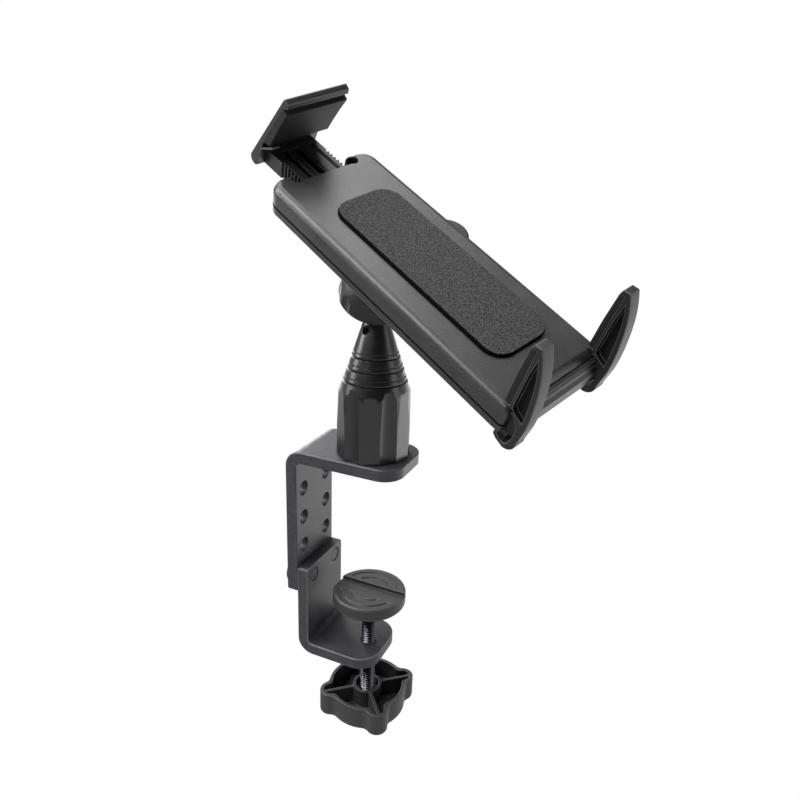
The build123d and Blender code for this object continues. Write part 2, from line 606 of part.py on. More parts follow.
# Claw rail across the lower end, held by its tongue between the covers
RAIL = [
    (PLATE_END, -2.2), (-73.6, -2.2), (-74.8, -3.5), (-74.8, -4.5), (-76.6, -6.3), (-76.6, -12.6), (-75.2, -14.3),
    (PLATE_END, -14.3)]
with BuildPart() as claw_rail:
    with BuildSketch(Plane.YZ):
        with BuildLine():
            Polyline(*RAIL, close=True)
        make_face()
    extrude(amount=RAIL_HALF, both=True)
    with BuildSketch(Plane.XY.offset(PART_Z - 1.4)):
        with Locations((0, PLATE_END + 3)):
            Rectangle(44.0, 6.0)
    extrude(amount=2.9)
save(claw_rail, "claw_rail", HOLDER)


# Claw: curved finger with a deep pocket on both sides and a hook that wraps the rail
def claw(middle):
    with BuildPart() as finger:
        with BuildSketch(Plane.YZ.offset(middle)):
            with BuildLine():
                Polyline((-69.0, 32.8), (-72.2, 33.2))
                Spline((-72.2, 33.2), (-76.2, 24.0), (-79.2, 10.4), (-80.4, -4.2), tangents=((-0.55, -1.0), (0.0, -1.0)))
                Line((-80.4, -4.2), (-79.7, -13.0))
                ThreePointArc((-79.7, -13.0), (-78.2, -18.0), (-75.2, -19.6))
                Polyline((-75.2, -19.6), (-71.2, -18.4), (-69.3, -17.0), (-69.2, -15.4), (-70.2, -13.9), (-70.9, -15.3),
                         (-73.4, -17.2), (-75.7, -16.9), (-76.95, -12.8), (-76.95, -6.15), (-75.15, -4.35),
                         (-75.15, -3.35), (-73.8, -1.85), (-72.4, -1.85), (-72.4, 0.25), (-67.9, 0.25), (-67.9, 1.6),
                         (-70.4, 1.6), (-70.4, 30.6), (-68.3, 30.6), (-69.0, 32.8))
            make_face()
        extrude(amount=CLAW_T / 2, both=True)
        for side in (-1, 1):
            with BuildSketch(Plane.YZ.offset(middle + side * CLAW_T / 2)):
                with BuildLine():
                    Line((-71.9, 20.0), (-71.9, 1.6))
                    Polyline((-71.9, 1.6), (-73.6, 0.0), (-77.9, -1.6))
                    Spline((-77.9, -1.6), (-76.8, 10.4), (-74.2, 23.0), (-72.6, 27.6))
                    Line((-72.6, 27.6), (-71.9, 20.0))
                make_face()
            extrude(amount=-side * 2.4, mode=Mode.SUBTRACT)
    return finger


def claw_strip(middle):
    with BuildPart() as strip:
        with BuildSketch(Plane.YZ.offset(middle)):
            with BuildLine():
                Polyline((-70.4, 1.6), (-67.9, 1.6), (-67.8, 16.0), (-68.3, 30.6), (-70.4, 30.6), close=True)
            make_face()
        extrude(amount=CLAW_T / 2, both=True)
    return strip


CLAW_MIDDLE = CLAW_HALF - CLAW_T / 2
save(claw(-CLAW_MIDDLE), "claw_left", HOLDER)
save(claw(CLAW_MIDDLE), "claw_right", HOLDER)
save(claw_strip(-CLAW_MIDDLE), "claw_pad_left", HOLDER)
save(claw_strip(CLAW_MIDDLE), "claw_pad_right", HOLDER)
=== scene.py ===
# %% [markdown]
# A clamp mount for a tablet, dressed for a studio picture.
# The solids come ready from the CAD model, in metres and in their real places.
# Our work is what the eye adds: rounded edges, threads, foam, and a true finish for every piece.
# Each step below says what the real thing is, how it could be made, and why we make it this way.

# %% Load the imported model
import bpy
import bmesh
import json
import math
from mathutils import Matrix, Vector, noise


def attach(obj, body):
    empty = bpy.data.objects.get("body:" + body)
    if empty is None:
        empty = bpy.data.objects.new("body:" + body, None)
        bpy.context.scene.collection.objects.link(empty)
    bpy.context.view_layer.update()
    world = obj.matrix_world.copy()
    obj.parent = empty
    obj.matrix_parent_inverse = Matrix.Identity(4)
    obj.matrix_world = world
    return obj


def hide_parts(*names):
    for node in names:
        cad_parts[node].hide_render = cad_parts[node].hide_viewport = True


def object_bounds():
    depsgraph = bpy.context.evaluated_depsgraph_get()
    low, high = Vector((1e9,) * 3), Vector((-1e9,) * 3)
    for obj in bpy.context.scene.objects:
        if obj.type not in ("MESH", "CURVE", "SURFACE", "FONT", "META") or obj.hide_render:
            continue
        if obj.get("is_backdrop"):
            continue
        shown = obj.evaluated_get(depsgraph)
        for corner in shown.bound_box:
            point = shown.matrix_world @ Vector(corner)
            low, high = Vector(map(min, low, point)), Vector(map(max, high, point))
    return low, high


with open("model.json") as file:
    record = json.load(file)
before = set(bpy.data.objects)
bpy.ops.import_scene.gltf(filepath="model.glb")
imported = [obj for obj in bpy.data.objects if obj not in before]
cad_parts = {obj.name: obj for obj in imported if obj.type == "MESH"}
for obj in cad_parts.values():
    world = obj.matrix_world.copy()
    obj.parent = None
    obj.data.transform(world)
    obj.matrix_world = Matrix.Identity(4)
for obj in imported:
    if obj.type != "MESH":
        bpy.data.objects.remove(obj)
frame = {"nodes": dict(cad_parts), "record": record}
cad_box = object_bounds()
nodes = frame["nodes"]
body_of_node = {}
for body_name, members in frame["record"]["behaviour"]["bodies"].items():
    for member in members:
        body_of_node[member] = body_name

# %% [markdown]
# A finish is a small network of nodes. Colours are easiest to compare with a photograph as hex
# values, but the shader works on linear light, so one function turns hex into linear numbers.
# A second function adds one node with its settings and its links. It serves every kind of node,
# in a material, in the room's light and in Geometry Nodes. A third opens a finish with its shader.
# The last one ends most finishes: it makes the base colour lighter and darker by a pattern, and
# adds a relief that catches the light.

# %% Small helpers for node networks
MM = 0.001


def linear(hex_colour):
    channels = [int(hex_colour[i:i + 2], 16) / 255 for i in (1, 3, 5)]
    lit = [c / 12.92 if c <= 0.04045 else ((c + 0.055) / 1.055) ** 2.4 for c in channels]
    return (*lit, 1.0)


def add(tree, kind, inputs=None, **settings):
    made = tree.nodes.new(kind)
    for key, value in settings.items():
        setattr(made, key, value)
    for key, value in (inputs or {}).items():
        if isinstance(value, bpy.types.NodeSocket):
            tree.links.new(value, made.inputs[key])
        else:
            made.inputs[key].default_value = value
    return made


def new_finish(name, **sockets):
    finish = bpy.data.materials.new(name)
    finish.use_nodes = True
    shader = finish.node_tree.nodes["Principled BSDF"]
    for key, value in sockets.items():
        shader.inputs[key.replace("_", " ")].default_value = value
    return finish, finish.node_tree, shader


def surface(tree, shader, base, tone, height, strength, depth):
    colour = add(tree, "ShaderNodeMix", {
        "Factor": 1.0, 6: base, 7: tone}, data_type="RGBA", blend_type="MULTIPLY")
    tree.links.new(colour.outputs[2], shader.inputs["Base Color"])
    bump = add(tree, "ShaderNodeBump", {"Height": height, "Strength": strength, "Distance": depth})
    tree.links.new(bump.outputs[0], shader.inputs["Normal"])


print("mid grey in linear light:", [round(c, 3) for c in linear("#808080")[:3]])

# %% [markdown]
# The camera stands where the photographer's did: in front of the clamp, a little to the right of
# its middle plane, looking down at about 19 degrees. A short lens close by gives the strong
# perspective of the picture. The angles were found from the straight edges of the strip.

# %% Camera
CAMERA_AT = Vector((0.14201, -0.29580, 0.14937))
AZIMUTH = math.radians(23.420)
ELEVATION = math.radians(19.250)
ROLL = math.radians(2.175)

back = Vector((
    math.sin(AZIMUTH) * math.cos(ELEVATION), -math.cos(AZIMUTH) * math.cos(ELEVATION), math.sin(ELEVATION)))
level = Vector((math.cos(AZIMUTH), math.sin(AZIMUTH), 0.0))
upward = back.cross(level)
right = level * math.cos(ROLL) + upward * math.sin(ROLL)
upright = upward * math.cos(ROLL) - level * math.sin(ROLL)
lens = bpy.data.cameras.new("camera")
lens.lens = 31.5
lens.sensor_width = 36.0
lens.clip_start = 0.01
camera = bpy.data.objects.new("camera", lens)
bpy.context.scene.collection.objects.link(camera)
camera.matrix_world = Matrix.Translation(CAMERA_AT) @ Matrix((right, upright, back)).transposed().to_4x4()
bpy.context.scene.camera = camera
print("camera looks along", [round(-c, 3) for c in back])

# %% [markdown]
# The picture has a pure white ground, yet the black parts on it stay deep. So the studio must be
# white to the camera and mostly dark to the object. Light Path tells the two apart: a ray that
# comes straight from the camera sees white paper, any other ray sees what the object needs. The
# upright faces mirror the floor, so the paper glows for them, more towards the rear, and little
# in a dull patch at the left, where the holder's long side looks.

# %% Paper on the floor
FLOOR_DROP = 0.14
FLOOR_Z = cad_box[0][2] - FLOOR_DROP
FLOOR_HALF = 6.0
DULL_PATCH_AT = (-0.80, -0.10, FLOOR_Z)
floor_corners = [
    (east * FLOOR_HALF, north * FLOOR_HALF, FLOOR_Z) for east, north in ((-1, -1), (1, -1), (1, 1), (-1, 1))]
floor_mesh = bpy.data.meshes.new("studio_floor")
floor_mesh.from_pydata(floor_corners, [], [(0, 1, 2, 3)])
floor = bpy.data.objects.new("studio_floor", floor_mesh)
bpy.context.scene.collection.objects.link(floor)
paper, paper_tree, paper_shader = new_finish("white_paper", Roughness=0.9)
paper_shader.inputs["Base Color"].default_value = linear("#4a4a4a")
paper_shader.inputs["Emission Color"].default_value = linear("#ffffff")
paper_where = add(paper_tree, "ShaderNodeTexCoord")
from_patch = add(paper_tree, "ShaderNodeVectorMath", {
    0: paper_where.outputs["Object"], 1: DULL_PATCH_AT}, operation="DISTANCE")
paper_glow = add(paper_tree, "ShaderNodeMapRange", {
    "Value": from_patch.outputs["Value"], "From Min": 0.35, "From Max": 0.85, "To Min": 0.08, "To Max": 0.64})
paper_far = add(paper_tree, "ShaderNodeSeparateXYZ", {0: paper_where.outputs["Object"]})
paper_behind = add(paper_tree, "ShaderNodeMapRange", {
    "Value": paper_far.outputs["Y"], "From Min": 0.15, "From Max": 0.60, "To Min": 0.0, "To Max": 1.7})
paper_both = add(paper_tree, "ShaderNodeMath", {
    0: paper_glow.outputs[0], 1: paper_behind.outputs[0]}, operation="ADD")
paper_tree.links.new(paper_both.outputs[0], paper_shader.inputs["Emission Strength"])
paper_white = add(paper_tree, "ShaderNodeEmission", {"Color": linear("#ffffff"), "Strength": 1.0})
paper_path = add(paper_tree, "ShaderNodeLightPath")
paper_mix = add(paper_tree, "ShaderNodeMixShader", {
    0: paper_path.outputs["Is Camera Ray"], 1: paper_shader.outputs[0], 2: paper_white.outputs[0]})
paper_tree.links.new(paper_mix.outputs[0], paper_tree.nodes["Material Output"].inputs["Surface"])
floor_mesh.materials.append(paper)
floor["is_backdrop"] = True
print("floor at", round(FLOOR_Z, 3), "m")

# %% [markdown]
# The room is the world's background and is made the same way: white to the camera, dim to any
# other ray, and lighter behind the object than in front of it. Dark in front keeps the middle of
# the cone black, and the lighter rear gives the thin bright outlines.

# %% Room
room = bpy.data.worlds.new("studio_room")
bpy.context.scene.world = room
room.use_nodes = True
room_tree = room.node_tree
room_tree.nodes.clear()
toward = add(room_tree, "ShaderNodeTexCoord")
parts_of = add(room_tree, "ShaderNodeSeparateXYZ", {0: toward.outputs["Generated"]})
depth_tone = add(room_tree, "ShaderNodeMapRange", {
    "Value": parts_of.outputs["Y"], "From Min": -0.1, "From Max": 0.8, "To Min": 0.05, "To Max": 0.30})
white_wall = add(room_tree, "ShaderNodeBackground", {"Color": linear("#ffffff"), "Strength": 1.0})
dim_wall = add(room_tree, "ShaderNodeBackground", {
    "Color": linear("#ffffff"), "Strength": depth_tone.outputs[0]})
room_path = add(room_tree, "ShaderNodeLightPath")
room_mix = add(room_tree, "ShaderNodeMixShader", {
    0: room_path.outputs["Is Camera Ray"], 1: dim_wall.outputs[0], 2: white_wall.outputs[0]})
add(room_tree, "ShaderNodeOutputWorld", {"Surface": room_mix.outputs[0]})
bpy.context.scene.view_settings.view_transform = "Standard"
bpy.context.scene.view_settings.look = "None"
print("room:", len(room_tree.nodes), "nodes")

# %% [markdown]
# Soft light comes from area lamps, which stand in for softboxes. The tall one at the left draws
# the streak down the cone and lights the left facets, the one above gives the pale satin of the
# holder's face, a narrow one in front of it draws the light along the holder's long rounding, and
# two weak ones edge the silhouette, one from behind at the left and one from the right.

# %% Softboxes
def softbox(name, place, target, width, height, power):
    light = bpy.data.lights.new(name, "AREA")
    light.shape = "RECTANGLE"
    light.size = width
    light.size_y = height
    light.energy = power
    lamp = bpy.data.objects.new(name, light)
    bpy.context.scene.collection.objects.link(lamp)
    aim = (Vector(target) - Vector(place)).to_track_quat("-Z", "Y")
    lamp.matrix_world = Matrix.Translation(place) @ aim.to_matrix().to_4x4()
    lamp.visible_camera = False
    print(name, "at", place)


softbox("softbox_above", (-0.30, 0.20, 1.08), (0.02, 0.0, 0.05), 0.90, 1.1, 16.0)
softbox("softbox_front_above", (-0.38, -0.66, 0.82), (0.02, -0.02, 0.12), 0.70, 0.34, 10.0)
softbox("softbox_left", (-0.93, -0.40, 0.60), (0.0, 0.0, 0.05), 0.28, 0.84, 11.5)
softbox("rim_left", (-0.75, 0.75, 0.30), (0.0, 0.0, 0.05), 0.30, 1.0, 5.0)
softbox("softbox_right", (0.95, 0.15, 0.35), (0.0, 0.0, 0.05), 0.4, 0.9, 2.0)

# %% [markdown]
# Powder coat on steel strip. Dry paint powder is melted on, so it flows into a skin with a faint
# orange peel, and it thins on the sharp edges, where handling soon rubs it lighter. The lighter
# finish of the edges is that rubbed wear and also a painted highlight along each edge. The skin is
# a plain dielectric, so metallic stays 0 and the steel below doesn't show.

# %% Powder coated steel, and its rubbed edge with a painted highlight
def powder_coat(name, face_hex, speck_hex, rough):
    finish, tree, shader = new_finish(name, IOR=1.45, Roughness=rough)
    where = add(tree, "ShaderNodeTexCoord")
    # scales are counts to a metre: a peel of 1.1 mm, pigment grains of 0.4 mm, which is coarser
    # than real so that they show, and clouds of 9 mm where the powder lay uneven
    peel, grain, cloud = (
        add(tree, "ShaderNodeTexNoise", {"Vector": where.outputs["Object"], "Scale": scale, "Detail": detail})
        for scale, detail in ((900.0, 3.0), (2600.0, 2.0), (110.0, 3.0)))
    share = add(tree, "ShaderNodeMapRange", {
        "Value": grain.outputs["Fac"], "From Min": 0.35, "From Max": 0.72})
    colour = add(tree, "ShaderNodeMix", {
        "Factor": share.outputs[0], 6: linear(face_hex), 7: linear(speck_hex)}, data_type="RGBA")
    cloudy = add(tree, "ShaderNodeMapRange", {
        "Value": cloud.outputs["Fac"], "From Min": 0.3, "From Max": 0.7, "To Min": 0.82, "To Max": 1.18})
    surface(tree, shader, colour.outputs[2], cloudy.outputs[0], peel.outputs["Fac"], 0.5, 0.16 * MM)
    return finish


coat = powder_coat("powder_coat_on_steel", "#222125", "#48474c", 0.46)
# the edge is lighter for its rubbed wear and for a painted highlight
coat_worn_and_painted_highlight_edge = powder_coat("powder_coat_rubbed_and_painted_highlight_edge", "#504f53", "#747377", 0.42)
print("made", coat.name, "and", coat_worn_and_painted_highlight_edge.name)

# %% [markdown]
# Moulded plastics. The covers are ABS from a spark eroded mould, which leaves a fine even sand
# texture that kills the mirror gloss. The jaw and the claws come from a smoother mould and look
# blacker. The knob, pad and ring are nylon, a little brown in the black. Rubber is the darkest.
# The sand is drawn coarser than real, up to 1 mm, so that it shows, and faint clouds of about
# 17 mm stand for the uneven flow of the plastic.

# %% Moulded plastics
def moulded(name, base_hex, grain_mm, depth_mm, rough, mottle=0.10, ior=1.50):
    finish, tree, shader = new_finish(name, IOR=ior, Roughness=rough)
    where = add(tree, "ShaderNodeTexCoord")
    sand = add(tree, "ShaderNodeTexNoise", {
        "Vector": where.outputs["Object"], "Scale": 1.0 / (grain_mm * MM), "Detail": 2.0, "Roughness": 0.6})
    cloud = add(tree, "ShaderNodeTexNoise", {"Vector": where.outputs["Object"], "Scale": 60.0, "Detail": 2.0})
    weighed = add(tree, "ShaderNodeMath", {0: sand.outputs["Fac"], 1: 0.7}, operation="MULTIPLY")
    both = add(tree, "ShaderNodeMath", {
        0: cloud.outputs["Fac"], 1: 0.3, 2: weighed.outputs[0]}, operation="MULTIPLY_ADD")
    tone = add(tree, "ShaderNodeMapRange", {
        "Value": both.outputs[0], "From Min": 0.35, "From Max": 0.65,
        "To Min": 1.0 - mottle, "To Max": 1.0 + mottle})
    surface(tree, shader, linear(base_hex), tone.outputs[0], sand.outputs["Fac"], 0.8, depth_mm * MM)
    return finish


abs_covers = moulded("spark_eroded_abs", "#2c2c2c", 0.5, 0.10, 0.36, 0.60)
# the edge finishes are lighter than their faces: a painted highlight along the rounded edges
abs_painted_highlight_edge = moulded("spark_eroded_abs_painted_highlight_edge", "#3a3a3a", 0.5, 0.06, 0.36, 0.30)
abs_black = moulded("smooth_black_abs", "#0f0f10", 0.9, 0.03, 0.50, 0.10)
abs_black_painted_highlight_edge = moulded("smooth_black_abs_painted_highlight_edge", "#3c3c3d", 0.9, 0.02, 0.40, 0.08)
nylon = moulded("moulded_black_nylon", "#2b2a2a", 1.0, 0.05, 0.50, 0.22)
nylon_painted_highlight_edge = moulded("moulded_black_nylon_painted_highlight_edge", "#454141", 1.0, 0.04, 0.45, 0.10)
rubber = moulded("black_rubber", "#101011", 1.0, 0.05, 0.70, 0.12, 1.38)
print("made seven moulded finishes")

# %% [markdown]
# The pedestal is turned from aluminium and anodised black. The dye sits in a hard clear oxide
# layer, so it looks like black glass over metal. The lathe leaves rings finer than the eye can
# part. They are drawn here 1 mm apart, coarse enough to show as a soft silk along the cone. Dust
# and finger marks of 4 mm change the gloss a little.

# %% Black anodised aluminium
def anodised(name, base_hex, rough):
    finish, tree, shader = new_finish(name, IOR=1.62, Roughness=rough)
    where = add(tree, "ShaderNodeTexCoord")
    # a wave texture has 20 / tau waves to a unit, so a scale of 320 gives rings of 0.98 mm
    rings = add(tree, "ShaderNodeTexWave", {
        "Vector": where.outputs["Object"], "Scale": 320.0, "Distortion": 0.8, "Detail": 1.0},
        wave_type="BANDS", bands_direction="Z", wave_profile="SIN")
    dust = add(tree, "ShaderNodeTexNoise", {"Vector": where.outputs["Object"], "Scale": 260.0, "Detail": 3.0})
    tone = add(tree, "ShaderNodeMapRange", {
        "Value": dust.outputs["Fac"], "From Min": 0.3, "From Max": 0.7, "To Min": 0.85, "To Max": 1.15})
    gloss = add(tree, "ShaderNodeMapRange", {
        "Value": dust.outputs["Fac"], "From Min": 0.3, "From Max": 0.7,
        "To Min": rough - 0.03, "To Max": rough + 0.04})
    tree.links.new(gloss.outputs[0], shader.inputs["Roughness"])
    surface(tree, shader, linear(base_hex), tone.outputs[0], rings.outputs["Fac"], 0.12, 0.01 * MM)
    return finish


anodise = anodised("black_anodised_aluminium", "#070708", 0.31)
# the lighter edge finish is a painted highlight along the edges of the grooves and flutes
anodise_painted_highlight_edge = anodised("black_anodised_painted_highlight_edge", "#2b2b2d", 0.42)
print("made two anodised finishes")

# %% [markdown]
# Screw steel is bare metal under a film: black oxide on the clamp's screws, zinc on the holder's.
# Both are metals, so metallic is 1, the colour is the colour of the reflection, and stains of
# about 3 mm break the gloss. On a used thread the oxide stays in the grooves and the crests
# are rubbed bright, so there the colour follows the distance from the screw's axis. That axis is
# the scene's upright one, so the distance comes straight from x and y.

# %% Screw steels and the ball
def screw_steel(name, base_hex, rough):
    finish, tree, shader = new_finish(name, Metallic=1.0, Roughness=rough)
    where = add(tree, "ShaderNodeTexCoord")
    stain = add(tree, "ShaderNodeTexNoise", {
        "Vector": where.outputs["Object"], "Scale": 350.0, "Detail": 4.0})
    tone = add(tree, "ShaderNodeMapRange", {
        "Value": stain.outputs["Fac"], "From Min": 0.3, "From Max": 0.7, "To Min": 0.7, "To Max": 1.25})
    surface(tree, shader, linear(base_hex), tone.outputs[0], stain.outputs["Fac"], 0.2, 0.05 * MM)
    return finish


blackened = screw_steel("black_oxide_screw_steel", "#1d1e20", 0.48)
rubbed_thread, rubbed_tree, rubbed_shader = new_finish(
    "black_oxide_rubbed_thread", Metallic=1.0, Roughness=0.34)
rubbed_where = add(rubbed_tree, "ShaderNodeTexCoord")
off_axis = add(rubbed_tree, "ShaderNodeVectorMath", {
    0: rubbed_where.outputs["Object"], 1: (1, 1, 0)}, operation="MULTIPLY")
from_axis = add(rubbed_tree, "ShaderNodeVectorMath", {0: off_axis.outputs[0]}, operation="LENGTH")
on_crest = add(rubbed_tree, "ShaderNodeMapRange", {
    "Value": from_axis.outputs["Value"], "From Min": 3.4 * MM, "From Max": 3.9 * MM})
thread_tone = add(rubbed_tree, "ShaderNodeMix", {
    "Factor": on_crest.outputs[0], 6: linear("#0c0d0e"), 7: linear("#72787f")}, data_type="RGBA")
rubbed_tree.links.new(thread_tone.outputs[2], rubbed_shader.inputs["Base Color"])
zinc = screw_steel("zinc_plated_steel", "#a9adb0", 0.30)
ball_steel = screw_steel("polished_ball_steel", "#77797d", 0.24)
print("made four steel finishes")

# %% [markdown]
# Foam on the face: a sheet of closed cell foam, skived to thickness, so the blade opens the
# cells. To the eye it is a dark grey cloth of pits with paler rims, about 0.6 mm across. The cut
# side of the sheet gets a matt near black finish, painted shade for the narrow wall in shadow.
# Foam is mostly air and mirrors less than solid plastic, which is what the low IOR of the wall says.

# %% Cut foam and its side wall
foam, foam_tree, foam_shader = new_finish("cut_cell_foam", IOR=1.45, Roughness=0.85)
foam_where = add(foam_tree, "ShaderNodeTexCoord")
cells = add(foam_tree, "ShaderNodeTexVoronoi", {"Vector": foam_where.outputs["Object"], "Scale": 1900.0})
crumbs = add(foam_tree, "ShaderNodeTexNoise", {
    "Vector": foam_where.outputs["Object"], "Scale": 1700.0, "Detail": 3.0, "Roughness": 0.6})
foam_share = add(foam_tree, "ShaderNodeMapRange", {
    "Value": crumbs.outputs["Fac"], "From Min": 0.42, "From Max": 0.62})
foam_colour = add(foam_tree, "ShaderNodeMix", {
    "Factor": foam_share.outputs[0], 6: linear("#0a0a0a"), 7: linear("#4a4a4a")}, data_type="RGBA")
foam_tree.links.new(foam_colour.outputs[2], foam_shader.inputs["Base Color"])
pits = add(foam_tree, "ShaderNodeMath", {
    0: cells.outputs["Distance"], 1: crumbs.outputs["Fac"]}, operation="ADD")
foam_bump = add(foam_tree, "ShaderNodeBump", {
    "Height": pits.outputs[0], "Strength": 0.8, "Distance": 0.25 * MM})
foam_tree.links.new(foam_bump.outputs[0], foam_shader.inputs["Normal"])
# near black base: painted shade on the foam's cut side
foam_wall_painted_shade = moulded("foam_side_painted_shade", "#030303", 0.8, 0.04, 0.90, 0.15, 1.15)
print("made", foam.name, "and", foam_wall_painted_shade.name)

# %% [markdown]
# Every dressed piece goes the same way. It starts as a mesh, gets its finishes, has its modifiers
# baked into a plain mesh, and then stands for a CAD node, with that node's body, so that it moves
# as the node does. A CAD mesh is loose triangles, so a copy of it is welded first.

# %% Helpers for dressed pieces
WELD = 0.002 * MM


def welded_copy(node_name):
    shape = bmesh.new()
    shape.from_mesh(nodes[node_name].data)
    bmesh.ops.remove_doubles(shape, verts=shape.verts, dist=WELD)
    return shape


def new_piece(name, shape_or_mesh, *finishes):
    mesh = shape_or_mesh
    if isinstance(shape_or_mesh, bmesh.types.BMesh):
        mesh = bpy.data.meshes.new(name)
        shape_or_mesh.to_mesh(mesh)
        shape_or_mesh.free()
    stale = mesh.attributes.get("custom_normal")
    if stale:
        mesh.attributes.remove(stale)
    for finish in finishes:
        mesh.materials.append(finish)
    piece = bpy.data.objects.new(name, mesh)
    bpy.context.scene.collection.objects.link(piece)
    return piece


def baked_mesh(piece):
    bpy.context.view_layer.update()
    baked = bpy.data.meshes.new_from_object(piece.evaluated_get(bpy.context.evaluated_depsgraph_get()))
    piece.modifiers.clear()
    piece.data = baked
    return baked


def stand_for(piece, node_name):
    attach(piece, body_of_node[node_name])
    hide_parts(node_name)
    return piece


print("helpers for pieces ready, weld distance", WELD, "m")

# %% [markdown]
# CAD solids have edges with no radius, but every real edge is a little round and catches a thin
# line of light. A bevel could be modelled edge by edge. It is quicker to copy the node, clear its
# flat faces of needless edges, and let one Bevel modifier round every sharp edge. It also gives
# the new strips a second finish, mostly lighter than the faces: a painted highlight along the edge,
# and on the powder coat also its rubbed wear. Where holes, grooves or teeth lie close together,
# its clamp keeps the strips from crossing. A Weighted Normal modifier then keeps the big flat faces
# flat to the light.

# %% Rounded copies of the CAD pieces
ALMOST_FLAT = math.radians(0.6)
SHARP_FROM = 33.0
SHARP_FROM_ON_FLUTES = 28.0


def rounded(node_name, finish, edge_finish, width_mm, angle=SHARP_FROM, clamp=False):
    shape = welded_copy(node_name)
    bmesh.ops.dissolve_limit(
        shape, angle_limit=ALMOST_FLAT, use_dissolve_boundaries=False, verts=shape.verts, edges=shape.edges)
    for face in shape.faces:
        face.material_index = 0
        face.smooth = True
    piece = new_piece(node_name + "_finished", shape, finish, edge_finish)
    bevel = piece.modifiers.new("round_edges", "BEVEL")
    bevel.width = width_mm * MM
    bevel.segments = 2
    bevel.limit_method = "ANGLE"
    bevel.angle_limit = math.radians(angle)
    bevel.material = 1
    bevel.use_clamp_overlap = clamp
    flat = piece.modifiers.new("flat_faces_stay_flat", "WEIGHTED_NORMAL")
    flat.mode = "FACE_AREA"
    flat.weight = 90
    baked_mesh(piece)
    return stand_for(piece, node_name)


print("edges are rounded where faces meet at", SHARP_FROM, "degrees or more")

# %% [markdown]
# How round an edge is follows from how the piece was made. Coated strip is the roundest, moulded
# shells and knobs come next, and the teeth and fine grooves of the arm and the cone stay sharp.
# Each line gives the finish of the faces, the finish of the edges and the width in millimetres.
# The lighter edge finishes are painted highlights, on the coat also rubbed wear; the ring nut's
# edges take the paler nylon as its painted highlight, and the rubber pads keep their own colour.

# %% Finishes and widths of the edges
edge_plan = {
    "upper_bracket": (coat, coat_worn_and_painted_highlight_edge, 0.45, SHARP_FROM, True),
    "lower_bracket": (coat, coat_worn_and_painted_highlight_edge, 0.6),
    "pressure_pad": (nylon, nylon_painted_highlight_edge, 0.4),
    "clamp_knob": (nylon, nylon_painted_highlight_edge, 0.35),
    "pedestal": (anodise, anodise_painted_highlight_edge, 0.15, SHARP_FROM_ON_FLUTES, True),
    # the paler nylon on the ring nut's edges is a painted highlight
    "ring_nut": (abs_black, nylon, 0.35, SHARP_FROM_ON_FLUTES, True),
    "ball_socket": (abs_covers, abs_painted_highlight_edge, 0.3),
    "front_cover": (abs_covers, abs_painted_highlight_edge, 0.5),
    "rear_cover": (abs_covers, abs_painted_highlight_edge, 0.3),
    "slide_arm": (abs_black, abs_black_painted_highlight_edge, 0.12, SHARP_FROM, True),
    "top_jaw": (abs_black, abs_black_painted_highlight_edge, 0.35),
    "jaw_pad": (rubber, rubber, 0.3),
    "release_button": (abs_black, abs_black_painted_highlight_edge, 0.4),
    "claw_rail": (abs_black, abs_black_painted_highlight_edge, 0.3),
    "claw_left": (abs_black, abs_black_painted_highlight_edge, 0.35),
    "claw_right": (abs_black, abs_black_painted_highlight_edge, 0.35),
    "claw_pad_left": (rubber, rubber, 0.3),
    "claw_pad_right": (rubber, rubber, 0.3)}
for name, plan in edge_plan.items():
    made = rounded(name, *plan)
    print(name, "faces:", len(made.data.polygons))

# %% [markdown]
# The holder leans and turns, but it was drawn lying flat. Its own axes make its pieces easy to
# find: x runs across it, y along it to the jaw, and z out of its face, all in millimetres. The
# numbers are the CAD model's. One function leads from these axes to the scene, one leads back.

# %% The holder's own axes
FACE_OUT = Vector((0.3571, -0.4253, 0.8316)).normalized()
ACROSS = Vector((0.4094, 0.8715, 0.2699))
ACROSS = (ACROSS - FACE_OUT * ACROSS.dot(FACE_OUT)).normalized()
ALONG = FACE_OUT.cross(ACROSS)
BALL_CENTRE = Vector((0, 0, 90.6))
BALL_IN_HOLDER = (-1.35, 26.973, -34.358)
HOLDER_AT = (
    BALL_CENTRE - ACROSS * BALL_IN_HOLDER[0] - ALONG * BALL_IN_HOLDER[1] - FACE_OUT * BALL_IN_HOLDER[2])


def in_holder(x, y, z):
    return (HOLDER_AT + ACROSS * x + ALONG * y + FACE_OUT * z) * MM


def from_holder(point):
    away = point / MM - HOLDER_AT
    return away.dot(ACROSS), away.dot(ALONG), away.dot(FACE_OUT)


print("holder's face at", [round(value) for value in HOLDER_AT], "mm")

# %% [markdown]
# The joint of the two covers reads as a black line, because light can't get back out of so narrow a
# gap. It is too fine for the picture's light to find by itself, so the rounded edges on both sides
# of the joint get a soot black finish.

# %% Black line of the joint
JOINT_LEVEL = -9.5
JOINT_BELOW = 0.85
JOINT_ABOVE = 0.35
joint_black = moulded("joint_in_shadow", "#030303", 0.8, 0.02, 0.90, 0.10, 1.20)
blackened_faces = 0
for cover_name in ("front_cover", "rear_cover"):
    cover_mesh = bpy.data.objects[cover_name + "_finished"].data
    cover_mesh.materials.append(joint_black)
    for face in cover_mesh.polygons:
        from_joint = from_holder(face.center)[2] - JOINT_LEVEL
        if face.material_index == 1 and -JOINT_BELOW < from_joint < JOINT_ABOVE:
            face.material_index = 2
            blackened_faces += 1
print("faces in the joint:", blackened_faces)

# %% [markdown]
# The pockets of the claws are deep and narrow, and little light gets into them. Their faces get
# a near black, rougher finish than the bands around them: painted shade. A face belongs to a
# pocket when it lies inside the claw's thickness and isn't on the band, whose faces run right across.

# %% Painted shade in the pockets of the claws
POCKET_DEEP = 0.5
EDGE_STRIP = 0.2
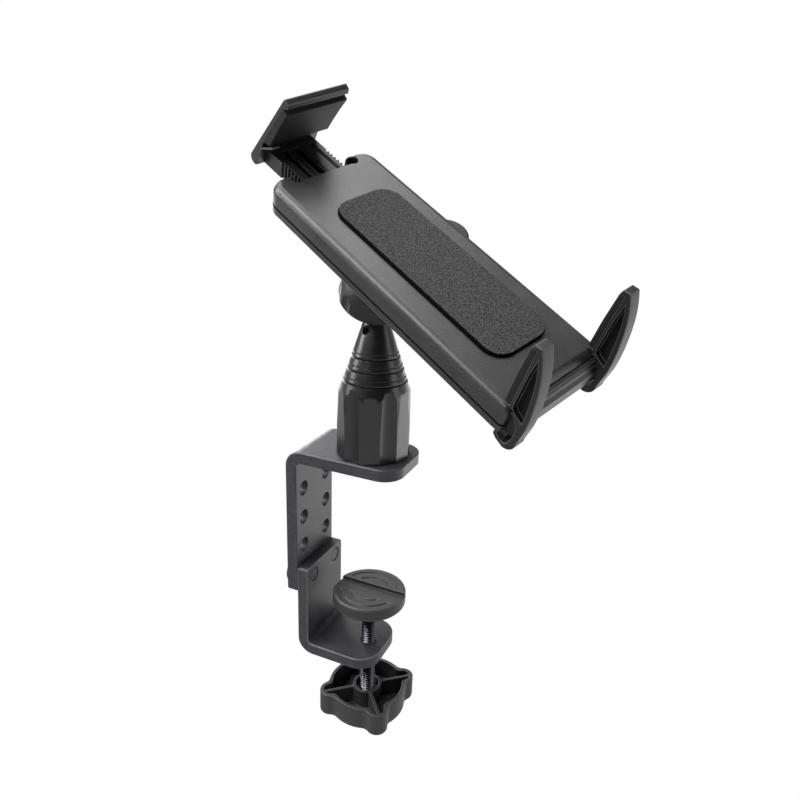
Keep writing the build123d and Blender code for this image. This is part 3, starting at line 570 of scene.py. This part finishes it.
# near black base: painted shade in the deep pockets
pocket_painted_shade = moulded("painted_shade_in_the_pockets", "#060606", 0.8, 0.03, 0.80, 0.15, 1.35)
for claw_name in ("claw_left", "claw_right"):
    claw_mesh = bpy.data.objects[claw_name + "_finished"].data
    claw_mesh.materials.append(pocket_painted_shade)
    sides = [from_holder(vertex.co)[0] for vertex in claw_mesh.vertices]
    middle, half = (max(sides) + min(sides)) / 2, (max(sides) - min(sides)) / 2
    pocket_faces = 0
    for face in claw_mesh.polygons:
        off_middle = abs(from_holder(face.center)[0] - middle)
        sideways = abs(face.normal.dot(ACROSS))
        pocket_floor = sideways > 0.9 and off_middle < half - POCKET_DEEP
        pocket_wall = sideways < 0.3 and POCKET_DEEP < off_middle < half - EDGE_STRIP
        if face.material_index == 0 and (pocket_floor or pocket_wall):
            face.material_index = 2
            pocket_faces += 1
    print(claw_name, "half thickness:", round(half, 2), "pocket faces:", pocket_faces)

# %% [markdown]
# Geometry Nodes grow what follows a rule. One function opens a tree with named sizes as its
# inputs, and one bakes a tree on a mesh of start points: it sets the inputs by their identifiers,
# lets Blender work the result out, and keeps it as a plain mesh with no modifier left.

# %% Helpers for Geometry Nodes
TURNED_SHARP_FROM = math.radians(35.0)


def new_tree(name, sizes):
    tree = bpy.data.node_groups.new(name, "GeometryNodeTree")
    tree.interface.new_socket("Places", in_out="INPUT", socket_type="NodeSocketGeometry")
    for size_name, start_value in sizes.items():
        size_input = tree.interface.new_socket(size_name, in_out="INPUT", socket_type="NodeSocketFloat")
        size_input.default_value = start_value
    tree.interface.new_socket("Finish", in_out="INPUT", socket_type="NodeSocketMaterial")
    tree.interface.new_socket("Result", in_out="OUTPUT", socket_type="NodeSocketGeometry")
    return tree, add(tree, "NodeGroupInput").outputs


def grown(name, tree, places, values):
    piece = new_piece(name, places)
    grow = piece.modifiers.new("grow", "NODES")
    grow.node_group = tree
    for socket in tree.interface.items_tree:
        if socket.in_out == "INPUT" and socket.name in values:
            grow[socket.identifier] = values[socket.name]
    mesh = baked_mesh(piece)
    mesh.shade_smooth()
    mesh.set_sharp_from_angle(angle=TURNED_SHARP_FROM)
    return piece


print("helpers ready")

# %% [markdown]
# The clamp screw carries an M8 thread. A thread is a groove that climbs one pitch in each turn,
# cut at 60 degrees. It could be swept along a helix, but a swept groove meets itself badly at its
# ends. So we roll up a sheet instead: the grid's x goes round and its y climbs. Six rows to a
# pitch put a row on every crest and every root. The true pitch of 1.25 mm is drawn as 1.5 mm, so
# that its lines can be told apart.

# %% Sheet for the thread
ROWS_A_PITCH = 6.0
STEPS_ROUND_THREAD = 36
thread, given = new_tree("rolled_thread", {
    "Crest Radius": 0.004, "Groove Depth": 0.0008, "Pitch": 0.0015, "Bottom": 0.0, "Top": 0.01})
reach = add(thread, "ShaderNodeMath", {0: given["Top"], 1: given["Bottom"]}, operation="SUBTRACT")
pitches = add(thread, "ShaderNodeMath", {0: reach.outputs[0], 1: given["Pitch"]}, operation="DIVIDE")
whole = add(thread, "ShaderNodeMath", {0: pitches.outputs[0]}, operation="ROUND")
turns = add(thread, "ShaderNodeMath", {0: whole.outputs[0], 1: 1.0}, operation="ADD")
rows = add(thread, "ShaderNodeMath", {
    0: turns.outputs[0], 1: ROWS_A_PITCH, 2: 1.0}, operation="MULTIPLY_ADD")
sheet = add(thread, "GeometryNodeMeshGrid", {
    "Size X": 1.0, "Size Y": 1.0, "Vertices X": STEPS_ROUND_THREAD + 1, "Vertices Y": rows.outputs[0]})
print("steps round the thread:", STEPS_ROUND_THREAD)

# %% [markdown]
# Each point of the sheet needs a height and a radius. The height climbs one pitch in a turn and is
# held between the bottom and the top. The radius falls from the crest into the groove and comes
# back as the climb goes on. Where the height is held, it stays at the root.

# %% Groove of the thread
SAME_HEIGHT = 0.01 * MM
CREST_ENDS = 0.08
ROOT_STARTS = 0.40
spot = add(thread, "ShaderNodeSeparateXYZ", {0: add(thread, "GeometryNodeInputPosition").outputs[0]})
up_share = add(thread, "ShaderNodeMath", {0: spot.outputs["Y"], 1: 0.5}, operation="ADD")
climb = add(thread, "ShaderNodeMath", {0: up_share.outputs[0], 1: turns.outputs[0]}, operation="MULTIPLY")
lead = add(thread, "ShaderNodeMath", {0: climb.outputs[0], 1: spot.outputs["X"]}, operation="ADD")
lead_from_zero = add(thread, "ShaderNodeMath", {0: lead.outputs[0], 1: -0.5}, operation="ADD")
free_height = add(thread, "ShaderNodeMath", {
    0: lead_from_zero.outputs[0], 1: given["Pitch"], 2: given["Bottom"]}, operation="MULTIPLY_ADD")
above_bottom = add(thread, "ShaderNodeMath", {
    0: free_height.outputs[0], 1: given["Bottom"]}, operation="MAXIMUM")
height = add(thread, "ShaderNodeMath", {0: above_bottom.outputs[0], 1: given["Top"]}, operation="MINIMUM")
inside = add(thread, "ShaderNodeMath", {
    0: height.outputs[0], 1: free_height.outputs[0], 2: SAME_HEIGHT}, operation="COMPARE")
swing = add(thread, "ShaderNodeMath", {0: climb.outputs[0], 1: 0.5}, operation="PINGPONG")
groove = add(thread, "ShaderNodeMapRange", {
    "Value": swing.outputs[0], "From Min": CREST_ENDS, "From Max": ROOT_STARTS,
    "To Min": 0.0, "To Max": given["Groove Depth"]})
cut = add(thread, "ShaderNodeMix", {
    "Factor": inside.outputs[0], 2: given["Groove Depth"], 3: groove.outputs[0]})
wall = add(thread, "ShaderNodeMath", {0: given["Crest Radius"], 1: cut.outputs[0]}, operation="SUBTRACT")
print("groove from", CREST_ENDS, "to", ROOT_STARTS, "of a pitch")

# %% [markdown]
# Sine and cosine roll the sheet into a rod. Its first and last row shrink onto the axis, which
# closes the ends, and a merge joins the two sides of the sheet.

# %% Sheet rolled into a rod
INSIDE_THE_END_ROWS = 0.4999
round_share = add(thread, "ShaderNodeMath", {0: spot.outputs["X"], 1: 0.5}, operation="ADD")
from_middle = add(thread, "ShaderNodeMath", {0: spot.outputs["Y"]}, operation="ABSOLUTE")
open_row = add(thread, "ShaderNodeMath", {
    0: from_middle.outputs[0], 1: INSIDE_THE_END_ROWS}, operation="LESS_THAN")
radius = add(thread, "ShaderNodeMath", {0: wall.outputs[0], 1: open_row.outputs[0]}, operation="MULTIPLY")
turn = add(thread, "ShaderNodeMath", {0: round_share.outputs[0], 1: math.tau}, operation="MULTIPLY")
east = add(thread, "ShaderNodeMath", {0: turn.outputs[0]}, operation="COSINE")
north = add(thread, "ShaderNodeMath", {0: turn.outputs[0]}, operation="SINE")
place_x = add(thread, "ShaderNodeMath", {0: east.outputs[0], 1: radius.outputs[0]}, operation="MULTIPLY")
place_y = add(thread, "ShaderNodeMath", {0: north.outputs[0], 1: radius.outputs[0]}, operation="MULTIPLY")
place = add(thread, "ShaderNodeCombineXYZ", {
    0: place_x.outputs[0], 1: place_y.outputs[0], 2: height.outputs[0]})
rolled = add(thread, "GeometryNodeSetPosition", {"Geometry": sheet.outputs[0], "Position": place.outputs[0]})
closed = add(thread, "GeometryNodeMergeByDistance", {"Geometry": rolled.outputs[0], "Distance": WELD})
plain = add(thread, "GeometryNodeRealizeInstances", {0: closed.outputs[0]})
dressed = add(thread, "GeometryNodeSetMaterial", {0: plain.outputs[0], "Material": given["Finish"]})
add(thread, "NodeGroupOutput", {0: dressed.outputs[0]})
print("thread tree:", len(thread.nodes), "nodes")

# %% [markdown]
# The thread runs from the hexagon head in the knob up to the pad. The head and the turned tip
# come from the CAD node: two cuts take its plain shank away, and the cut faces are closed again.

# %% Threaded clamp screw
THREAD_FROM = -0.1451
THREAD_TO = -0.0838
no_places = bpy.data.meshes.new("no_places")
rod = grown("rod_thread", thread, no_places, {
    "Crest Radius": 0.004, "Groove Depth": 0.00085, "Pitch": 0.0015,
    "Bottom": THREAD_FROM, "Top": THREAD_TO, "Finish": rubbed_thread}).data
whole_screw = bmesh.new()
for cut_at, away in ((THREAD_FROM, (0, 0, 1)), (THREAD_TO, (0, 0, -1))):
    end = welded_copy("clamp_screw")
    bmesh.ops.bisect_plane(
        end, geom=end.verts[:] + end.edges[:] + end.faces[:],
        plane_co=(0, 0, cut_at), plane_no=away, clear_outer=True)
    bmesh.ops.holes_fill(end, edges=[e for e in end.edges if e.is_boundary], sides=0)
    for face in end.faces:
        face.smooth = False
    end_mesh = bpy.data.meshes.new("screw_end")
    end.to_mesh(end_mesh)
    end.free()
    whole_screw.from_mesh(end_mesh)
whole_screw.from_mesh(rod)
for face in whole_screw.faces:
    face.material_index = 0
screw_piece = new_piece("clamp_screw_threaded", whole_screw, rubbed_thread)
bpy.data.objects.remove(bpy.data.objects["rod_thread"])
stand_for(screw_piece, "clamp_screw")
print("clamp screw faces:", len(screw_piece.data.polygons))

# %% [markdown]
# Screw heads. All the small screws here are one shape with other sizes: a shank, a domed head
# and a drive pressed into it, a hexagon or a cross. A lathe would turn all of it but the drive.
# So we use the rolled sheet again, with one row for each step of the outline. A table gives each
# row as shares of the named sizes.

# %% Outline of a screw
head, size = new_tree("domed_screw", {
    "Shank Radius": 0.002, "Crown Radius": 0.002, "Head Radius": 0.004,
    "Shank Length": 0.006, "Head Height": 0.002, "Drive Depth": 0.001,
    "Drive Sides": 4.0, "Drive Reach": 0.0015, "Drive Half Width": 0.0005, "Seed": 3.0})
# each row: shares of the shank, crown and head radius, then of shank length, head height and drive depth
outline = [
    ((0, 0, 0), (-1, 0, 0)),
    ((0.85, 0, 0), (-1, 0, 0)),
    ((1, 0, 0), (-0.94, 0, 0)),
    ((1, 0, 0), (0, 0, 0)),
    ((0, 0, 0.96), (0, 0, 0)),
    ((0, 0, 1), (0, 0.08, 0)),
    ((0, 0, 1), (0, 0.28, 0)),
    ((0, 0.13, 0.87), (0, 0.60, 0)),
    ((0, 0.5, 0.5), (0, 0.88, 0)),
    ((0, 1, 0), (0, 1, 0)),
    ((0, 0, 0), (0, 1, 0)),
    ((0, 0, 0), (0, 1, -1)),
    ((0, 0, 0), (0, 1, -1))]
STEPS_ROUND_HEAD = 48
disc = add(head, "GeometryNodeMeshGrid", {
    "Size X": 1.0, "Size Y": 1.0, "Vertices X": STEPS_ROUND_HEAD + 1, "Vertices Y": len(outline)})
print("rows in a screw's outline:", len(outline))

# %% [markdown]
# Each point of the sheet looks its row up in the table. The shares, each times its size and added
# up, give the row's radius and level. That sum of products is the dot product of two vectors.

# %% Radius and level of each row
mark = add(head, "ShaderNodeSeparateXYZ", {0: add(head, "GeometryNodeInputPosition").outputs[0]})
row_share = add(head, "ShaderNodeMath", {0: mark.outputs["Y"], 1: 0.5}, operation="ADD")
row_free = add(head, "ShaderNodeMath", {0: row_share.outputs[0], 1: len(outline) - 1.0}, operation="MULTIPLY")
row = add(head, "ShaderNodeMath", {0: row_free.outputs[0]}, operation="ROUND")
lookups = []
for column in (0, 1):
    lookup = add(head, "GeometryNodeIndexSwitch", data_type="VECTOR")
    for _ in range(len(outline) - 2):
        lookup.index_switch_items.new()
    head.links.new(row.outputs[0], lookup.inputs["Index"])
    for number, shares in enumerate(outline):
        lookup.inputs[number + 1].default_value = shares[column]
    lookups.append(lookup)
radii = add(head, "ShaderNodeCombineXYZ", {
    0: size["Shank Radius"], 1: size["Crown Radius"], 2: size["Head Radius"]})
levels = add(head, "ShaderNodeCombineXYZ", {
    0: size["Shank Length"], 1: size["Head Height"], 2: size["Drive Depth"]})
lathe_radius, lathe_level = (
    add(head, "ShaderNodeVectorMath", {0: lookup.outputs[0], 1: lengths.outputs[0]}, operation="DOT_PRODUCT")
    for lookup, lengths in zip(lookups, (radii, levels)))
print("lookups in the table:", len(lookups))

# %% [markdown]
# The drive has a wedge round each of its arms. In a wedge the radius is the shorter of the way to
# the arm's end and to the arm's side. Two rows of the outline take this radius, the drive's upper
# edge and its lower edge. Then the sheet is rolled up as before.

# %% Drive, and the sheet rolled into a screw
DRIVE_ROWS_MIDDLE = 10.5
DRIVE_ROWS_REACH = 0.6
around = add(head, "ShaderNodeMath", {0: mark.outputs["X"], 1: math.tau}, operation="MULTIPLY")
half_wedge = add(head, "ShaderNodeMath", {0: math.pi, 1: size["Drive Sides"]}, operation="DIVIDE")
minus_half = add(head, "ShaderNodeMath", {0: half_wedge.outputs[0], 1: -1.0}, operation="MULTIPLY")
in_wedge = add(head, "ShaderNodeMath", {
    0: around.outputs[0], 1: half_wedge.outputs[0], 2: minus_half.outputs[0]}, operation="WRAP")
ahead = add(head, "ShaderNodeMath", {0: in_wedge.outputs[0]}, operation="COSINE")
aside = add(head, "ShaderNodeMath", {0: in_wedge.outputs[0]}, operation="SINE")
aside_size = add(head, "ShaderNodeMath", {0: aside.outputs[0]}, operation="ABSOLUTE")
aside_safe = add(head, "ShaderNodeMath", {0: aside_size.outputs[0], 1: 0.001}, operation="MAXIMUM")
to_end = add(head, "ShaderNodeMath", {0: size["Drive Reach"], 1: ahead.outputs[0]}, operation="DIVIDE")
to_side = add(head, "ShaderNodeMath", {
    0: size["Drive Half Width"], 1: aside_safe.outputs[0]}, operation="DIVIDE")
drive_radius = add(head, "ShaderNodeMath", {0: to_end.outputs[0], 1: to_side.outputs[0]}, operation="MINIMUM")
is_drive = add(head, "ShaderNodeMath", {
    0: row.outputs[0], 1: DRIVE_ROWS_MIDDLE, 2: DRIVE_ROWS_REACH}, operation="COMPARE")
ring = add(head, "ShaderNodeMix", {
    "Factor": is_drive.outputs[0], 2: lathe_radius.outputs["Value"], 3: drive_radius.outputs[0]})
ring_east = add(head, "ShaderNodeMath", {0: around.outputs[0]}, operation="COSINE")
ring_north = add(head, "ShaderNodeMath", {0: around.outputs[0]}, operation="SINE")
ring_x = add(head, "ShaderNodeMath", {0: ring_east.outputs[0], 1: ring.outputs[0]}, operation="MULTIPLY")
ring_y = add(head, "ShaderNodeMath", {0: ring_north.outputs[0], 1: ring.outputs[0]}, operation="MULTIPLY")
ring_point = add(head, "ShaderNodeCombineXYZ", {
    0: ring_x.outputs[0], 1: ring_y.outputs[0], 2: lathe_level.outputs["Value"]})
turned = add(head, "GeometryNodeSetPosition", {
    "Geometry": disc.outputs[0], "Position": ring_point.outputs[0]})
one_screw = add(head, "GeometryNodeMergeByDistance", {"Geometry": turned.outputs[0], "Distance": WELD})
print("one screw:", len(head.nodes), "nodes")

# %% [markdown]
# Each start point carries its screw's direction as an attribute, and each screw is turned by a
# random angle about its own axis, because no fitter lines the drives up.

# %% Screws on their points
facing = add(head, "GeometryNodeInputNamedAttribute", {"Name": "direction"}, data_type="FLOAT_VECTOR")
upright_turn = add(head, "FunctionNodeAlignRotationToVector", {"Vector": facing.outputs[0]}, axis="Z")
chance = add(head, "FunctionNodeRandomValue", {"Max": math.tau, "Seed": size["Seed"]}, data_type="FLOAT")
own_turn = add(head, "FunctionNodeAxisAngleToRotation", {"Axis": (0, 0, 1), "Angle": chance.outputs["Value"]})
pose = add(head, "FunctionNodeRotateRotation", {
    "Rotation": upright_turn.outputs[0], "Rotate By": own_turn.outputs[0]}, rotation_space="LOCAL")
placed = add(head, "GeometryNodeInstanceOnPoints", {
    "Points": size["Places"], "Instance": one_screw.outputs[0], "Rotation": pose.outputs[0]})
real = add(head, "GeometryNodeRealizeInstances", {0: placed.outputs[0]})
finished_screws = add(head, "GeometryNodeSetMaterial", {0: real.outputs[0], "Material": size["Finish"]})
add(head, "NodeGroupOutput", {0: finished_screws.outputs[0]})
print("screw tree:", len(head.nodes), "nodes")

# %% [markdown]
# Three sets of screws: two hold the brackets together, four the flange of the ball socket, and six
# the two covers. Their sizes are in millimetres, with four arms for a cross drive or six flats for
# a hexagon. The screws of the brackets get flatter heads than in the CAD model, because the
# photographed outline runs straight past them.

# %% Three sets of screws
def screw_places(name, points, direction):
    mesh = bpy.data.meshes.new(name)
    mesh.from_pydata(points, [], [])
    facing_of = mesh.attributes.new("direction", "FLOAT_VECTOR", "POINT")
    for datum in facing_of.data:
        datum.vector = direction
    return mesh


bracket_points = [Vector((-40.6, side * 11.5, -67.8)) * MM for side in (-1, 1)]
socket_points = [
    in_holder(BALL_IN_HOLDER[0] + x, BALL_IN_HOLDER[1] + y, -18.0) for x in (-17, 17) for y in (-24, 24)]
cover_points = [in_holder(x, y, -12.8) for x in (-23.5, 23.5) for y in (66, -8, -62)]
screw_sets = {
    "bracket_screws": (bracket_points, (-1, 0, 0), coat, {
        "Shank Radius": 3.95, "Crown Radius": 4.6, "Head Radius": 6.9,
        "Shank Length": 12.3, "Head Height": 1.6, "Drive Depth": 1.2,
        "Drive Sides": 6, "Drive Reach": 2.5, "Drive Half Width": 9.0}),
    "socket_screws": (socket_points, -FACE_OUT, zinc, {
        "Shank Radius": 2.0, "Crown Radius": 2.1, "Head Radius": 3.5,
        "Shank Length": 7.6, "Head Height": 2.3, "Drive Depth": 1.2,
        "Drive Sides": 4, "Drive Reach": 1.6, "Drive Half Width": 0.4}),
    "cover_screws": (cover_points, -FACE_OUT, zinc, {
        "Shank Radius": 1.3, "Crown Radius": 1.8, "Head Radius": 2.8,
        "Shank Length": 8.7, "Head Height": 1.9, "Drive Depth": 1.0,
        "Drive Sides": 4, "Drive Reach": 1.35, "Drive Half Width": 0.35})}
for name, (points, direction, finish, sizes_mm) in screw_sets.items():
    values = {key: value * (1.0 if key == "Drive Sides" else MM) for key, value in sizes_mm.items()}
    values["Finish"] = finish
    piece = grown(name + "_turned", head, screw_places(name + "_places", points, direction), values)
    stand_for(piece, name)
    print(name, "count:", len(points), "faces:", len(piece.data.polygons))

# %% [markdown]
# The foam pad. A flat slab would look like card, because foam has an edge that the blade rounds
# a little and a top that is never quite level. So the pad is a fine grid, one point every 0.35 mm,
# whose corners are pressed into quarter circles. Its height follows the distance to the edge, and
# noise sinks the open cells.

# %% Shape of the foam's top
TOP_HALF = (16.7, 51.8)
TOP_SHIFT = 0.25
PAD_CORNER = 9.0
PAD_THICK = 1.6
EDGE_ROUND = 0.45
GRID_STEP = 0.35
CELL_SINK = 0.05


def pressed(value, half):
    beyond = abs(value) - (half - PAD_CORNER)
    return max(0.0, beyond) / PAD_CORNER


def pad_point(x, y):
    share_x, share_y = pressed(x, TOP_HALF[0]), pressed(y, TOP_HALF[1])
    if share_x > 0 and share_y > 0:
        round_x = share_x * math.sqrt(1 - share_y * share_y / 2)
        round_y = share_y * math.sqrt(1 - share_x * share_x / 2)
        x = math.copysign(TOP_HALF[0] - PAD_CORNER + PAD_CORNER * round_x, x)
        y = math.copysign(TOP_HALF[1] - PAD_CORNER + PAD_CORNER * round_y, y)
        to_edge = PAD_CORNER * (1 - math.hypot(round_x, round_y))
    else:
        to_edge = min(TOP_HALF[0] - abs(x), TOP_HALF[1] - abs(y))
    to_edge = min(max(to_edge, 0.0), EDGE_ROUND)
    drop = EDGE_ROUND - math.sqrt(EDGE_ROUND ** 2 - (EDGE_ROUND - to_edge) ** 2)
    cell = noise.noise(Vector((x, y, 0.0)) * 1.35) + 0.5 * noise.noise(Vector((x, y, 7.0)) * 3.1)
    sink = CELL_SINK * max(-1.0, min(1.0, cell)) + CELL_SINK
    return x + TOP_SHIFT, y, PAD_THICK - drop - sink


print("corner of the top:", [round(value, 2) for value in pad_point(*TOP_HALF)], "mm")

# %% [markdown]
# The grid of the top is laid out in the holder's own axes. Its outermost row of faces already
# bends down into the wall, so it takes the wall's painted shade, and only the rest is cut foam.

# %% Grid of the foam's top
PAD_MIDDLE = (0.6, -1.8)
across_count = round(2 * TOP_HALF[0] / GRID_STEP)
along_count = round(2 * TOP_HALF[1] / GRID_STEP)
pad = bmesh.new()
columns = []
for i in range(across_count + 1):
    column = []
    for j in range(along_count + 1):
        x, y, z = pad_point(
            TOP_HALF[0] * (2 * i / across_count - 1), TOP_HALF[1] * (2 * j / along_count - 1))
        column.append(pad.verts.new(in_holder(PAD_MIDDLE[0] + x, PAD_MIDDLE[1] + y, z)))
    columns.append(column)
top_faces = []
for i in range(across_count):
    for j in range(along_count):
        face = pad.faces.new((columns[i][j], columns[i + 1][j], columns[i + 1][j + 1], columns[i][j + 1]))
        if 0 < i < across_count - 1 and 0 < j < along_count - 1:
            top_faces.append(face)
print("faces of the top:", len(pad.faces))

# %% [markdown]
# The wall goes down from the rim row by row. It flares out to the foot, as a blade at a slant
# leaves it, and has a faint ridge where two sheets are glued. Each row gives its height in
# millimetres and its share of the way from the top's outline to the foot's.

# %% Wall of the foam
PAD_HALF = (17.0, 52.0)
FOOT_GROWS = (PAD_HALF[0] / TOP_HALF[0], PAD_HALF[1] / TOP_HALF[1])
WALL_ROWS = ((1.05, 0.05), (0.85, 0.40), (0.75, 0.62), (0.60, 0.62), (0.45, 0.75), (0.0, 1.0))
PAD_SHARP_FROM = math.radians(50.0)
rim_edges = [edge for edge in pad.edges if edge.is_boundary]
pad_centre = in_holder(PAD_MIDDLE[0], PAD_MIDDLE[1], 0.0)
last_flare = 0.0
for level_mm, flare in WALL_ROWS:
    new_rim = bmesh.ops.extrude_edge_only(pad, edges=rim_edges)["geom"]
    rim_edges = [item for item in new_rim if isinstance(item, bmesh.types.BMEdge) and item.is_boundary]
    for vertex in {v for edge in rim_edges for v in edge.verts}:
        # first undo the flare of the row above, then move out to the flare of this row
        away = (vertex.co - pad_centre) / MM
        across = away.dot(ACROSS) + TOP_SHIFT * FOOT_GROWS[0] * last_flare
        across /= 1 + (FOOT_GROWS[0] - 1) * last_flare
        along = away.dot(ALONG) / (1 + (FOOT_GROWS[1] - 1) * last_flare)
        across += ((across - TOP_SHIFT) * FOOT_GROWS[0] - across) * flare
        along += along * (FOOT_GROWS[1] - 1) * flare
        vertex.co = in_holder(PAD_MIDDLE[0] + across, PAD_MIDDLE[1] + along, level_mm)
    last_flare = flare
    print("wall row at", level_mm, "mm:", len(rim_edges), "edges")
bmesh.ops.holes_fill(pad, edges=rim_edges, sides=0)
bmesh.ops.recalc_face_normals(pad, faces=pad.faces)
for face in pad.faces:
    face.smooth = True
    # the wall and the rim row get the near black painted shade
    face.material_index = 1
for face in top_faces:
    face.material_index = 0
pad_piece = new_piece("foam_face_pad", pad, foam, foam_wall_painted_shade)
pad_piece.data.set_sharp_from_angle(angle=PAD_SHARP_FROM)
stand_for(pad_piece, "face_pad")
print("pad faces:", len(pad_piece.data.polygons))

# %% [markdown]
# A few pieces are hidden inside, or show only a small face. They keep their CAD node and only get
# its finish.

# %% Finishes for the nodes that stay
kept = {
    "pedestal_bolt": blackened,
    "ball_stud": ball_steel,
    "stud_set_screw": blackened,
    "lock_bar": abs_black,
    "button_spring": zinc}
for name, finish in kept.items():
    node_mesh = nodes[name].data
    node_mesh.materials.clear()
    node_mesh.materials.append(finish)
print("kept", len(kept), "nodes")

# %% [markdown]
# Last come the two boxes, the CAD model's and the dressed model's. They should agree, because
# looks never change the size of the part.

# %% Print the two boxes and finish
visual_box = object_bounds()
for box_name, box in (("CAD box", cad_box), ("dressed box", visual_box)):
    print(box_name, [[round(value, 4) for value in corner] for corner in box])
